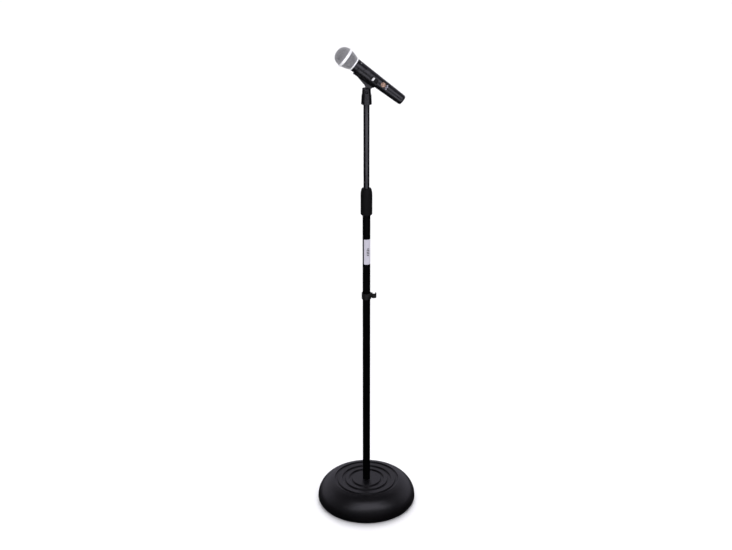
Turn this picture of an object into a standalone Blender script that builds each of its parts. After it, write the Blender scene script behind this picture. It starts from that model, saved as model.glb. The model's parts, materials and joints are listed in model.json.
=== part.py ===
"""A telescoping microphone stand on a heavy round base, with a handheld microphone in its clip.

Metres, +Z up. The origin is on the floor, on the axis of the pole. The microphone lies in the XZ plane,
with its grille towards -X. Lengths along the microphone are measured in its own frame: local Z runs
along its axis towards the grille and local X points up, away from the clip's pivot.
"""

import math

import bmesh
import bpy
from mathutils import Matrix, Vector

MM = 0.001
GAP = 0.3 * MM  # clearance between neighbouring pieces

# Base
BASE_RADIUS = 127 * MM
BASE_HEIGHT = 60 * MM
BASE_WIDEST_HEIGHT = 10 * MM
BASE_FLAT_RADIUS = 75 * MM
BASE_RIM_RADIUS = 122 * MM
BASE_RIM_HEIGHT = 1.5 * MM
SHOULDER_POWER = 2.05
BASE_WALL = 3.6 * MM
GROOVES = ((37 * MM, 46 * MM), (55 * MM, 64 * MM), (75 * MM, 84 * MM))
GROOVE_DEPTH = 2.2 * MM
FOOT_RADII = (100 * MM, 112 * MM)
FOOT_HEIGHT = 2.5 * MM
PLATE_RADIUS = 116 * MM
PLATE_THICKNESS = 2.4 * MM
PLATE_SCREW_CIRCLE = 80 * MM
PLATE_SCREWS = 3
BALLAST_TOP = 44 * MM
HUB_RADIUS = 14.5 * MM
HUB_BOTTOM = 15 * MM
NUT_RECESS_RADIUS = 13 * MM
PLATE_SCREW_RADIUS = 1.9 * MM
PLATE_SCREW_TOP = 16 * MM
PLATE_SCREW_HEAD_RADIUS = 3.8 * MM
WASHER_RADIUS = 12 * MM
WASHER_THICKNESS = 1.6 * MM
NUT_CORNER_RADIUS = 9.8 * MM
NUT_THICKNESS = 5.5 * MM

# Pole
LOWER_RADIUS = 9.525 * MM
LOWER_BORE = 8.3 * MM
LOWER_BOTTOM = 20 * MM
LOWER_TOP = 835 * MM
UPPER_RADIUS = 7.15 * MM
UPPER_BORE = 6.05 * MM
UPPER_BOTTOM = 350 * MM
UPPER_TOP = 1075.2 * MM
STUD_RADIUS = 5 * MM
STUD_PLUG_TOP = 45 * MM
PLUG_LENGTH = 19 * MM
GLIDE_LENGTH = 28 * MM
GLIDE_BORE = 2.5 * MM
LABEL_BOTTOM = 672.7 * MM
LABEL_TOP = 738.2 * MM
LABEL_HALF_ARC = 10 * MM
LABEL_FACING = math.radians(-70)

# Cable clip
CABLE_CLIP_MIDDLE = 586 * MM
CABLE_CLIP_HEIGHT = 15 * MM
CABLE_CLIP_BORE = 10.2 * MM
CABLE_CLIP_RADIUS = 11.9 * MM
CABLE_CLIP_HALF_MOUTH = math.radians(32)
HOOK_CENTRE = 18.3 * MM
HOOK_BORE = 3.9 * MM
HOOK_RADIUS = 6.5 * MM
HOOK_HALF_MOUTH = math.radians(52)
HOOK_LOW = -4.6 * MM
HOOK_HIGH = 7.1 * MM

# Clutch
CLUTCH_BOTTOM = 800 * MM
CLUTCH_TOP = 867.5 * MM
CLUTCH_RADIUS = 14.2 * MM
CLUTCH_TOP_RADIUS = 9.9 * MM
CLUTCH_SHOULDER = 18 * MM
CLUTCH_LIP = 2 * MM
FERRULE_WALL = 1.8 * MM
BUSH_RADIUS = 8.9 * MM
BUSH_LENGTH = 8 * MM
COLLET_RADIUS = 10.2 * MM

# Microphone clip
SOCKET_BOTTOM = 1075 * MM
SOCKET_TOP = 1113 * MM
SOCKET_BOTTOM_RADIUS = 12.5 * MM
SOCKET_TOP_RADIUS = 10.6 * MM
THREAD_RADIUS = 7.94 * MM
THREAD_LENGTH = 17 * MM
PIVOT_HEIGHT = 1105.8 * MM
SLOT_HALF_WIDTH = 3.9 * MM
TONGUE_HALF_WIDTH = 3.55 * MM
TONGUE_RADIUS = 7 * MM
INSERT_WALL = 2.2 * MM
PIVOT_RADIUS = 1.5 * MM
PIVOT_BORE = 1.8 * MM
PIVOT_HEAD_RADIUS = 3 * MM
PIVOT_NUT_CORNER = 3.15 * MM
PIVOT_POCKET_RADIUS = 3.5 * MM
PIVOT_POCKET_FLOOR = 7.6 * MM
PIVOT_END = 9.9 * MM
CLIP_WALL = 2.4 * MM
CLIP_HALF_WRAP = math.radians(140)
CLIP_FRONT = 50 * MM
CLIP_REAR = -4 * MM

# Microphone
MIC_TILT = math.radians(-52.6)
MIC_OFFSET = 33.3 * MM  # from the clip's pivot to the microphone's axis
BODY_FRONT = 61 * MM
BODY_REAR = -80.5 * MM
BODY_FRONT_RADIUS = 16 * MM
BODY_REAR_RADIUS = 12 * MM
BODY_WALL = 2.4 * MM
TAIL_CHAMFER = 3 * MM
XLR_BORE = 8.3 * MM
XLR_DEPTH = 18 * MM
XLR_DISC = 7 * MM
PIN_CIRCLE = 3.9 * MM
PIN_RADIUS = 1.2 * MM
SET_SCREW_RADIUS = 1.25 * MM
SET_SCREW_DEPTH = 1.9 * MM
SWITCH_MIDDLE = 4 * MM
SWITCH_HALF_LENGTH = 9 * MM
SWITCH_HALF_WIDTH = 6.5 * MM
SWITCH_FACING = math.radians(-88)
SWITCH_PLATE = (10.2 * MM, 11.6 * MM)
SWITCH_BLOCK = (4.5 * MM, 8.4 * MM)
SWITCH_BLOCK_HALF_WIDTH = 5.4 * MM
THUMB_TOP = 13.2 * MM
BADGE_MIDDLE = -20 * MM
BADGE_RADIUS = 6 * MM
BADGE_FACING = math.radians(-68)
COLLAR = (60 * MM, 63.2 * MM)
BAND_MIDDLE = 86.7 * MM
BAND_HALF_WIDTH = 3 * MM
GRILLE_RADIUS = 22.6 * MM
GRILLE_TIP = 110.8 * MM
GRILLE_WALL = 1.2 * MM
FOAM_WALL = 3 * MM
DOME_POWER = 2.3
REAR_MESH_RADIUS = 16.2 * MM
REAR_BULGE = 0.9 * MM
THUMB_HALF_WIDTH = 5 * MM
THUMB_HALF_LENGTH = 2.4 * MM
SWITCH_TRAVEL = 5 * MM
CAPSULE_RADIUS = 11 * MM
CAPSULE_NECK_RADIUS = 9 * MM
CAPSULE_LOW = 66 * MM
CAPSULE_TOP = 85 * MM
MOUNT_LOW = 50 * MM
MOUNT_HIGH = 62 * MM
MOUNT_BORE = 4 * MM

BASE_SEGMENTS = 40
ROUND_SEGMENTS = 28
SMALL_SEGMENTS = 18
TINY_SEGMENTS = 10
WELD = 1e-6


def clear_scene():
    for obj in list(bpy.data.objects):
        bpy.data.objects.remove(obj, do_unlink=True)


def make_material(name, colour, roughness, metallic=0.0):
    material = bpy.data.materials.new(name)
    material.use_nodes = True
    shader = material.node_tree.nodes["Principled BSDF"]
    shader.inputs["Base Color"].default_value = (*colour, 1.0)
    shader.inputs["Roughness"].default_value = roughness
    shader.inputs["Metallic"].default_value = metallic
    return material


def make_axis(name, location=(0, 0, 0), rotation=(0, 0, 0), parent=None):
    """An empty whose local axes carry the pieces of one moving group."""
    axis = bpy.data.objects.new(name, None)
    axis.location = location
    axis.rotation_euler = rotation
    axis.parent = parent
    bpy.context.scene.collection.objects.link(axis)
    return axis


def make_piece(name, bm, material, parent=None):
    bmesh.ops.remove_doubles(bm, verts=bm.verts, dist=WELD)
    bmesh.ops.recalc_face_normals(bm, faces=bm.faces)
    mesh = bpy.data.meshes.new(name)
    bm.to_mesh(mesh)
    bm.free()
    mesh.shade_smooth()
    mesh.set_sharp_from_angle(angle=math.radians(35))
    piece = bpy.data.objects.new(name, mesh)
    piece.parent = parent
    bpy.context.scene.collection.objects.link(piece)
    if material is not None:
        mesh.materials.append(material)
    return piece


def turned(name, outline, material, parent=None, segments=ROUND_SEGMENTS, turn=None):
    """A solid of revolution about local Z, from an outline of (radius, height) points."""
    bm = bmesh.new()
    points = [bm.verts.new((radius, 0, height)) for radius, height in outline]
    pairs = list(zip(points, points[1:]))
    if outline[0][0] > 0:
        pairs.append((points[-1], points[0]))
    edges = [bm.edges.new(pair) for pair in pairs]
    bmesh.ops.spin(
        bm,
        geom=points + edges,
        axis=(0, 0, 1),
        angle=math.tau,
        steps=segments,
        use_merge=True,
    )
    if turn is not None:
        bmesh.ops.transform(bm, matrix=turn, verts=bm.verts)
    return make_piece(name, bm, material, parent)


def tube(name, inner, outer, low, high, material, parent=None, segments=ROUND_SEGMENTS):
    outline = [(outer, high), (outer, low), (inner, low), (inner, high)]
    return turned(name, outline, material, parent, segments)


def prism(name, outline, low, high, material, parent=None, turn=None, top_outline=None):
    """A flat outline of (x, y) points, extruded along local Z to the same or another outline."""
    bm = bmesh.new()
    bottom = [bm.verts.new((x, y, low)) for x, y in outline]
    top = [bm.verts.new((x, y, high)) for x, y in top_outline or outline]
    bm.faces.new(bottom)
    bm.faces.new(top)
    for near, far in zip(zip(bottom, bottom[1:] + bottom[:1]), zip(top, top[1:] + top[:1])):
        bm.faces.new((near[0], near[1], far[1], far[0]))
    if turn is not None:
        bmesh.ops.transform(bm, matrix=turn, verts=bm.verts)
    return make_piece(name, bm, material, parent)


def bore_outline(radius, low, high):
    """The outline of a cutter for a hole that clears a round piece of the given radius."""
    clear = radius + GAP
    return [(0, high), (clear, high), (clear, low), (0, low)]


def box_outline(low_x, high_x, low_y, high_y):
    return [(low_x, low_y), (high_x, low_y), (high_x, high_y), (low_x, high_y)]


def arc(centre, radius, start, end, steps):
    """Points of an arc, from one angle to another, both included."""
    angles = [start + (end - start) * step / steps for step in range(steps + 1)]
    return [(centre[0] + radius * math.cos(a), centre[1] + radius * math.sin(a)) for a in angles]


def wrapped(name, sheet, surface_radius, low, high, facing, material, parent=None):
    """Bends a flat sheet round local Z as a plate that stands from low to high over a turned surface.

    The sheet's x is the arc length from the facing angle, and its y is the height.
    """
    lifted = bmesh.ops.extrude_face_region(sheet, geom=list(sheet.faces), use_keep_orig=True)
    tops = {item for item in lifted["geom"] if isinstance(item, bmesh.types.BMVert)}
    for vert in sheet.verts:
        arc_length, height, _ = vert.co
        radius = surface_radius(height)
        angle = facing + arc_length / radius
        distance = radius + (high if vert in tops else low)
        vert.co = (distance * math.cos(angle), distance * math.sin(angle), height)
    return make_piece(name, sheet, material, parent)


def sheet_grid(half_width, low, high, columns, rows):
    bm = bmesh.new()
    bmesh.ops.create_grid(bm, x_segments=columns, y_segments=rows, size=1)
    for vert in bm.verts:
        vert.co.x *= half_width
        vert.co.y = (low + high) / 2 + vert.co.y * (high - low) / 2
    return bm


def sheet_disc(radius, middle, rings=3, spokes=16):
    bm = bmesh.new()
    centre = bm.verts.new((0, middle, 0))
    loops = []
    for ring in range(1, rings + 1):
        points = arc((0, middle), radius * ring / rings, 0, math.tau, spokes)[:-1]
        loops.append([bm.verts.new((x, y, 0)) for x, y in points])
    for spoke in range(spokes):
        following = (spoke + 1) % spokes
        bm.faces.new((centre, loops[0][spoke], loops[0][following]))
        for inner, outer in zip(loops, loops[1:]):
            bm.faces.new((inner[spoke], outer[spoke], outer[following], inner[following]))
    return bm


def hide_helper(helper):
    helper.hide_render = True
    helper.display_type = "WIRE"


def combine(piece, helper, operation):
    """Cuts a helper solid out of a piece, or joins it on, with a Boolean modifier."""
    modifier = piece.modifiers.new(helper.name, "BOOLEAN")
    modifier.operation = operation
    modifier.solver = "EXACT"
    modifier.object = helper
    hide_helper(helper)


def cut(piece, *helpers):
    for helper in helpers:
        combine(piece, helper, "DIFFERENCE")


def join(piece, *helpers):
    for helper in helpers:
        combine(piece, helper, "UNION")


def across(direction, position):
    """A matrix that lays local Z along a direction and moves the origin to a position."""
    turn = Vector(direction).to_track_quat("Z", "Y").to_matrix().to_4x4()
    return Matrix.Translation(position) @ turn


def base_skin(inset, steps):
    """Points of the base's rounded side, from the edge of the flat top down to the bottom rim."""
    outline = []
    span_out = BASE_RADIUS - BASE_FLAT_RADIUS
    span_up = BASE_HEIGHT - BASE_WIDEST_HEIGHT - inset
    for step in range(steps + 1):
        angle = math.pi / 2 * step / steps
        radius = BASE_FLAT_RADIUS + (span_out - inset) * math.sin(angle) ** (2 / SHOULDER_POWER)
        height = BASE_WIDEST_HEIGHT + span_up * max(math.cos(angle), 0) ** (2 / SHOULDER_POWER)
        outline.append((radius, height))
    middle = (BASE_WIDEST_HEIGHT + BASE_RIM_HEIGHT) / 2
    outline.append((BASE_RADIUS - inset - 1.2 * MM, middle))
    return outline


def make_base(materials):
    hole = LOWER_RADIUS + GAP
    outline = [(hole, BASE_HEIGHT)]
    for start, end in GROOVES:
        slope = GROOVE_DEPTH / 2
        floor = BASE_HEIGHT - GROOVE_DEPTH
        outline += [(start, BASE_HEIGHT), (start + slope, floor), (end - slope, floor), (end, BASE_HEIGHT)]
    skin = [point for point in base_skin(0, 8) if point[0] > GROOVES[-1][1] + MM]
    outline += skin + [(BASE_RIM_RADIUS, BASE_RIM_HEIGHT)]
    lining = base_skin(BASE_WALL, 5)
    outline += [(BASE_RIM_RADIUS - BASE_WALL, BASE_RIM_HEIGHT)] + lining[::-1]
    outline += [(hole, BASE_HEIGHT - BASE_WALL)]
    turned("base_shell", outline, materials["base"], segments=BASE_SEGMENTS)

    plate_low = FOOT_HEIGHT + GAP
    plate_high = plate_low + PLATE_THICKNESS
    ballast_low = plate_high + GAP
    ballast_side = [point for point in base_skin(BASE_WALL + 2 * GAP, 5)[:-1] if point[1] < BALLAST_TOP]
    ballast_edge = ballast_side[0][0] - 9 * MM
    ballast = turned(
        "base_ballast",
        [(HUB_RADIUS + GAP, BALLAST_TOP), (ballast_edge, BALLAST_TOP)]
        + ballast_side
        + [(PLATE_RADIUS - 2 * MM, ballast_low), (NUT_RECESS_RADIUS, ballast_low)]
        + [(NUT_RECESS_RADIUS, HUB_BOTTOM - GAP), (HUB_RADIUS + GAP, HUB_BOTTOM - GAP)],
        materials["cement"],
        segments=BASE_SEGMENTS,
    )
    plate = turned(
        "base_bottom_plate",
        [(0, plate_high), (PLATE_RADIUS, plate_high), (PLATE_RADIUS, plate_low), (0, plate_low)],
        materials["plate"],
        segments=BASE_SEGMENTS,
    )
    tube("base_foot_ring", *FOOT_RADII, 0, FOOT_HEIGHT, materials["rubber"], segments=BASE_SEGMENTS)

    head_low = FOOT_HEIGHT - 1.6 * MM
    for number in range(PLATE_SCREWS):
        angle = math.tau * (number + 0.5) / PLATE_SCREWS
        place = (PLATE_SCREW_CIRCLE * math.cos(angle), PLATE_SCREW_CIRCLE * math.sin(angle), 0)
        hole_solid = turned(
            f"plate_screw_hole_{number + 1}",
            bore_outline(PLATE_SCREW_RADIUS, -MM, PLATE_SCREW_TOP + GAP),
            None,
            segments=TINY_SEGMENTS,
        )
        hole_solid.location = place
        cut(ballast, hole_solid)
        cut(plate, hole_solid)
        screw = turned(
            f"plate_screw_{number + 1}",
            [(0, PLATE_SCREW_TOP), (PLATE_SCREW_RADIUS, PLATE_SCREW_TOP - MM)]
            + [(PLATE_SCREW_RADIUS, FOOT_HEIGHT), (PLATE_SCREW_HEAD_RADIUS, FOOT_HEIGHT)]
            + [(PLATE_SCREW_HEAD_RADIUS - 0.4 * MM, head_low), (0, head_low)],
            materials["screw"],
            segments=TINY_SEGMENTS,
        )
        screw.location = place


def make_pole_foot(materials):
    """The socket, stud, washer and nut that hold the pole in the base."""
    floor = LOWER_BOTTOM - GAP
    turned(
        "base_hub",
        [(LOWER_RADIUS + GAP, BASE_HEIGHT - BASE_WALL - GAP), (HUB_RADIUS, BASE_HEIGHT - BASE_WALL - GAP)]
        + [(HUB_RADIUS, HUB_BOTTOM), (STUD_RADIUS + GAP, HUB_BOTTOM), (STUD_RADIUS + GAP, floor)]
        + [(LOWER_RADIUS + GAP, floor)],
        materials["steel"],
        segments=SMALL_SEGMENTS,
    )
    turned(
        "lower_tube_stud",
        [(0, STUD_PLUG_TOP), (LOWER_BORE - GAP, STUD_PLUG_TOP), (LOWER_BORE - GAP, LOWER_BOTTOM)]
        + [(STUD_RADIUS, LOWER_BOTTOM), (STUD_RADIUS, 6 * MM), (0, 6 * MM)],
        materials["steel"],
        segments=SMALL_SEGMENTS,
    )
    washer_top = HUB_BOTTOM - GAP
    washer_bottom = washer_top - WASHER_THICKNESS
    tube(
        "base_washer",
        STUD_RADIUS + GAP,
        WASHER_RADIUS,
        washer_bottom,
        washer_top,
        materials["steel"],
        segments=SMALL_SEGMENTS,
    )
    nut_top = washer_bottom - GAP
    nut_outline = arc((0, 0), NUT_CORNER_RADIUS, 0, math.tau, 6)[:-1]
    nut = prism("base_nut", nut_outline, nut_top - NUT_THICKNESS, nut_top, materials["steel"])
    bore = turned("base_nut_bore", bore_outline(STUD_RADIUS, 0, LOWER_BOTTOM), None, segments=SMALL_SEGMENTS)
    cut(nut, bore)


def make_lower_tube(materials):
    tube("lower_tube", LOWER_BORE, LOWER_RADIUS, LOWER_BOTTOM, LOWER_TOP, materials["tube"])
    sheet = sheet_grid(LABEL_HALF_ARC, LABEL_BOTTOM, LABEL_TOP, 10, 1)
    wrapped(
        "tube_label",
        sheet,
        lambda height: LOWER_RADIUS,
        0.2 * MM,
        0.45 * MM,
        LABEL_FACING,
        materials["label"],
    )


def make_cable_clip(materials):
    axis = make_axis("cable_clip_axis", (0, 0, CABLE_CLIP_MIDDLE))
    half = CABLE_CLIP_HEIGHT / 2

    def open_band(centre, inner, outer, half_opening, steps):
        start = math.pi / 2 + half_opening
        end = math.pi / 2 - half_opening + math.tau
        return arc(centre, outer, start, end, steps) + arc(centre, inner, end, start, steps)

    ring_outline = open_band((0, 0), CABLE_CLIP_BORE, CABLE_CLIP_RADIUS, CABLE_CLIP_HALF_MOUTH, 22)
    clip = prism("cable_clip", ring_outline, -half, half, materials["plastic"], axis)
    hook_outline = open_band((HOOK_CENTRE, 0), HOOK_BORE, HOOK_RADIUS, HOOK_HALF_MOUTH, 12)
    hook = prism("cable_clip_hook", hook_outline, HOOK_LOW, HOOK_HIGH, None, axis)
    neck_start = CABLE_CLIP_RADIUS - 0.9 * MM
    neck_end = HOOK_CENTRE - HOOK_BORE - 0.6 * MM
    neck_outline = box_outline(neck_start, neck_end, -3 * MM, 3 * MM)
    neck = prism("cable_clip_neck", neck_outline, HOOK_LOW + 0.4 * MM, HOOK_HIGH - 0.4 * MM, None, axis)
    join(clip, hook, neck)


def make_clutch(materials):
    axis = make_axis("clutch_axis", (0, 0, CLUTCH_BOTTOM))
    top = CLUTCH_TOP - CLUTCH_BOTTOM
    shoulder = top - CLUTCH_SHOULDER
    ferrule_radius = LOWER_RADIUS + GAP + FERRULE_WALL
    ferrule_top = LOWER_TOP - CLUTCH_BOTTOM + 2.5 * MM
    grip_bore = ferrule_radius + GAP
    bush_bottom = top - BUSH_LENGTH
    mouth_radius = LOWER_RADIUS + 4 * GAP
    rounded = []
    steps = 4
    for step in range(steps + 1):
        angle = math.pi / 2 * step / steps
        radius = CLUTCH_TOP_RADIUS + (CLUTCH_RADIUS - 0.2 * MM - CLUTCH_TOP_RADIUS) * math.sin(angle)
        rounded.append((radius, shoulder + CLUTCH_SHOULDER * math.cos(angle)))
    turned(
        "clutch_grip",
        [(BUSH_RADIUS + GAP, top)]
        + rounded
        + [(CLUTCH_RADIUS, 2.5 * MM), (CLUTCH_RADIUS - 0.6 * MM, 0.8 * MM), (CLUTCH_RADIUS - 2 * MM, 0)]
        + [(mouth_radius, 0), (mouth_radius, CLUTCH_LIP), (grip_bore, CLUTCH_LIP)]
        + [(grip_bore, ferrule_top), (BUSH_RADIUS + GAP, bush_bottom - 2 * MM)],
        materials["plastic"],
        axis,
    )
    tube(
        "clutch_ferrule",
        LOWER_RADIUS + GAP,
        ferrule_radius,
        CLUTCH_LIP + 0.5 * MM,
        LOWER_TOP - CLUTCH_BOTTOM - 3 * MM,
        materials["steel"],
        axis,
        SMALL_SEGMENTS,
    )
    collet_bottom = LOWER_TOP - CLUTCH_BOTTOM + GAP
    collet_top = bush_bottom - GAP
    collet = turned(
        "clutch_collet",
        [(UPPER_RADIUS + GAP, collet_top), (BUSH_RADIUS - GAP, collet_top)]
        + [(COLLET_RADIUS, collet_bottom + 4 * MM), (COLLET_RADIUS, collet_bottom)]
        + [(UPPER_RADIUS + GAP, collet_bottom)],
        materials["nylon"],
        axis,
        SMALL_SEGMENTS,
    )
    for number, turn in enumerate((45, 135), start=1):
        slot_outline = box_outline(-12 * MM, 12 * MM, -0.6 * MM, 0.6 * MM)
        spin = Matrix.Rotation(math.radians(turn), 4, "Z")
        slot_name = f"collet_slot_{number}"
        slot_bottom = collet_bottom + 5 * MM
        slot = prism(slot_name, slot_outline, slot_bottom, collet_top + MM, None, axis, spin)
        cut(collet, slot)
    tube(
        "clutch_bush",
        UPPER_RADIUS + GAP,
        BUSH_RADIUS,
        bush_bottom,
        top - 0.4 * MM,
        materials["plastic"],
        axis,
        SMALL_SEGMENTS,
    )


def make_upper_tube(materials, mast):
    thread_top = SOCKET_BOTTOM + THREAD_LENGTH
    plug_bottom = UPPER_TOP - PLUG_LENGTH
    glide_bottom = UPPER_BOTTOM - 10 * MM
    glide_top = glide_bottom + GLIDE_LENGTH
    tube("upper_tube", UPPER_BORE, UPPER_RADIUS, UPPER_BOTTOM, UPPER_TOP, materials["upper_tube"], mast, 24)
    turned(
        "upper_tube_glide",
        [(GLIDE_BORE, glide_top), (UPPER_BORE - GAP, glide_top)]
        + [(UPPER_BORE - GAP, UPPER_BOTTOM - GAP), (LOWER_BORE - GAP, UPPER_BOTTOM - GAP)]
        + [(LOWER_BORE - GAP, glide_bottom), (GLIDE_BORE, glide_bottom)],
        materials["nylon"],
        None,
        SMALL_SEGMENTS,
    )
    turned(
        "upper_tube_stud",
        [(0, thread_top), (THREAD_RADIUS, thread_top), (THREAD_RADIUS, UPPER_TOP + GAP)]
        + [(UPPER_BORE - GAP, UPPER_TOP + GAP), (UPPER_BORE - GAP, plug_bottom), (0, plug_bottom)],
        materials["steel"],
        mast,
        SMALL_SEGMENTS,
    )


def make_clip_socket(materials, mast):
    insert_top = SOCKET_BOTTOM + THREAD_LENGTH + MM
    insert_bottom = SOCKET_BOTTOM + MM
    insert_radius = THREAD_RADIUS + INSERT_WALL
    tube(
        "clip_thread_insert",
        THREAD_RADIUS + GAP,
        insert_radius,
        insert_bottom,
        insert_top,
        materials["brass"],
        mast,
        SMALL_SEGMENTS,
    )
    bore = insert_radius + GAP
    socket = turned(
        "clip_socket",
        [(0, SOCKET_TOP), (SOCKET_TOP_RADIUS - 2 * MM, SOCKET_TOP)]
        + [(SOCKET_TOP_RADIUS - 0.5 * MM, SOCKET_TOP - 0.8 * MM), (SOCKET_TOP_RADIUS, SOCKET_TOP - 2.2 * MM)]
        + [(SOCKET_BOTTOM_RADIUS, SOCKET_BOTTOM + 1.5 * MM)]
        + [(SOCKET_BOTTOM_RADIUS - 0.6 * MM, SOCKET_BOTTOM), (bore, SOCKET_BOTTOM)]
        + [(bore, insert_top + GAP), (0, insert_top + GAP)],
        materials["clip"],
        mast,
        ROUND_SEGMENTS,
    )
    slot_floor = PIVOT_HEIGHT - TONGUE_RADIUS - 0.6 * MM
    slot = prism(
        "socket_slot",
        box_outline(-20 * MM, 20 * MM, -SLOT_HALF_WIDTH, SLOT_HALF_WIDTH),
        slot_floor,
        SOCKET_TOP + 5 * MM,
        None,
        mast,
    )
    sideways = across((0, 1, 0), (0, 0, PIVOT_HEIGHT))
    pin_bore = turned(
        "socket_pin_bore",
        bore_outline(PIVOT_RADIUS, -PIVOT_POCKET_FLOOR - 0.2 * MM, PIVOT_POCKET_FLOOR + 0.2 * MM),
        None,
        mast,
        12,
        sideways,
    )
    nut_pocket = prism(
        "socket_nut_pocket",
        arc((0, 0), PIVOT_POCKET_RADIUS, 0, math.tau, 6)[:-1],
        PIVOT_POCKET_FLOOR,
        SOCKET_BOTTOM_RADIUS,
        None,
        mast,
        sideways,
    )
    head_pocket = turned(
        "socket_head_pocket",
        bore_outline(PIVOT_POCKET_RADIUS - GAP, -SOCKET_BOTTOM_RADIUS, -PIVOT_POCKET_FLOOR),
        None,
        mast,
        12,
        sideways,
    )
    cut(socket, slot, pin_bore, nut_pocket, head_pocket)
    seat = PIVOT_POCKET_FLOOR + GAP
    turned(
        "clip_pivot_screw",
        [(0, PIVOT_END), (PIVOT_RADIUS, PIVOT_END), (PIVOT_RADIUS, -seat), (PIVOT_HEAD_RADIUS, -seat)]
        + [(PIVOT_HEAD_RADIUS - 0.4 * MM, -PIVOT_END), (0, -PIVOT_END)],
        materials["screw"],
        mast,
        12,
        sideways,
    )
    nut = prism(
        "clip_pivot_nut",
        arc((0, 0), PIVOT_NUT_CORNER, 0, math.tau, 6)[:-1],
        seat,
        PIVOT_END,
        materials["screw"],
        mast,
        sideways,
    )
    nut_bore = turned(
        "pivot_nut_bore",
        bore_outline(PIVOT_RADIUS, PIVOT_POCKET_FLOOR - 2 * MM, PIVOT_END + 2 * MM),
        None,
        mast,
        12,
        sideways,
    )
    cut(nut, nut_bore)


def body_radius(height):
    """Outer radius of the tapering handle at a height along the microphone."""
    share = (height - BODY_REAR) / (BODY_FRONT - BODY_REAR)
    return BODY_REAR_RADIUS + (BODY_FRONT_RADIUS - BODY_REAR_RADIUS) * share


def sleeve_outline(height, half_wrap, steps):
    """A slice of the cradle's split sleeve: an open ring round the handle, with its opening at the top."""
    inner = body_radius(height) + GAP + 0.1 * MM
    start = math.pi - half_wrap
    end = math.pi + half_wrap
    centre = (MIC_OFFSET, 0)
    return arc(centre, inner + CLIP_WALL, start, end, steps) + arc(centre, inner, end, start, steps)


def make_cradle(materials, tilt):
    """A split sleeve that follows the handle's taper, on a flared web that ends in the pivot's tongue."""
    cradle = prism(
        "clip_cradle",
        sleeve_outline(CLIP_REAR, CLIP_HALF_WRAP, 22),
        CLIP_REAR,
        CLIP_FRONT,
        materials["clip"],
        tilt,
        top_outline=sleeve_outline(CLIP_FRONT, CLIP_HALF_WRAP, 22),
    )
    beyond = 55
    arm_edge = [(3, beyond), (3, 39), (9.5, 34.5), (12, 32.5), (12, 23.5), (9.5, 20.5)]
    arm_edge += [(-2, 13.5), (-3, -12)]
    above_edge = [(MIC_OFFSET + rise * MM, along * MM) for rise, along in arm_edge]
    above_edge += [(MIC_OFFSET + 30 * MM, -12 * MM), (MIC_OFFSET + 30 * MM, beyond * MM)]
    upright = Matrix(((1, 0, 0, 0), (0, 0, 1, 0), (0, 1, 0, 0), (0, 0, 0, 1)))
    window = prism("cradle_window", above_edge, -25 * MM, 25 * MM, None, tilt, upright)
    cut(cradle, window)

    top_front = MIC_OFFSET - body_radius(CLIP_FRONT) - GAP - 0.8 * MM
    top_rear = MIC_OFFSET - body_radius(CLIP_REAR) - GAP - 0.8 * MM
    tongue = arc((0, 0), TONGUE_RADIUS, math.radians(52), math.radians(318), 14)
    web_outline = [
        (top_rear, CLIP_REAR + 0.5 * MM),
        (11 * MM, -4.4 * MM),
        *tongue[::-1],
        (9.4 * MM, 13 * MM),
        (12.4 * MM, 27 * MM),
        (top_front, CLIP_FRONT - 3.5 * MM),
    ]
    web = prism("cradle_web", web_outline, -TONGUE_HALF_WIDTH, TONGUE_HALF_WIDTH, None, tilt, upright)
    join(cradle, web)
    pivot_bore = turned(
        "tongue_bore",
        bore_outline(PIVOT_RADIUS, -6 * MM, 6 * MM),
        None,
        tilt,
        12,
        across((0, -1, 0), (0, 0, 0)),
    )
    cut(cradle, pivot_bore)


def make_mic_body(materials, mic):
    bore = body_radius(0) - BODY_WALL
    throat = bore - 2 * MM
    socket_end = BODY_REAR + XLR_DEPTH + XLR_DISC + MM
    body = turned(
        "mic_body",
        [(BODY_FRONT_RADIUS - BODY_WALL, COLLAR[0] - GAP), (body_radius(COLLAR[0]), COLLAR[0] - GAP)]
        + [(body_radius(BODY_REAR + TAIL_CHAMFER), BODY_REAR + TAIL_CHAMFER)]
        + [(BODY_REAR_RADIUS - 1.6 * MM, BODY_REAR), (XLR_BORE, BODY_REAR)]
        + [(XLR_BORE, socket_end), (throat, socket_end + 2 * MM)]
        + [(bore, 0)],
        materials["body"],
        mic,
    )
    switch_cutter = prism(
        "switch_window",
        box_outline(-SWITCH_HALF_WIDTH, SWITCH_HALF_WIDTH, -SWITCH_HALF_LENGTH, SWITCH_HALF_LENGTH),
        6 * MM,
        20 * MM,
        None,
        mic,
        across((math.cos(SWITCH_FACING), math.sin(SWITCH_FACING), 0), (0, 0, SWITCH_MIDDLE)),
    )
    badge_recess = wrapped(
        "badge_recess",
        sheet_disc(BADGE_RADIUS + GAP, BADGE_MIDDLE),
        body_radius,
        -0.9 * MM,
        1.5 * MM,
        BADGE_FACING,
        None,
        mic,
    )
    cut(body, switch_cutter, badge_recess)
    wrapped(
        "mic_badge",
        sheet_disc(BADGE_RADIUS, BADGE_MIDDLE),
        body_radius,
        -0.6 * MM,
        -0.05 * MM,
        BADGE_FACING,
        materials["badge"],
        mic,
    )
    return body


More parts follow.
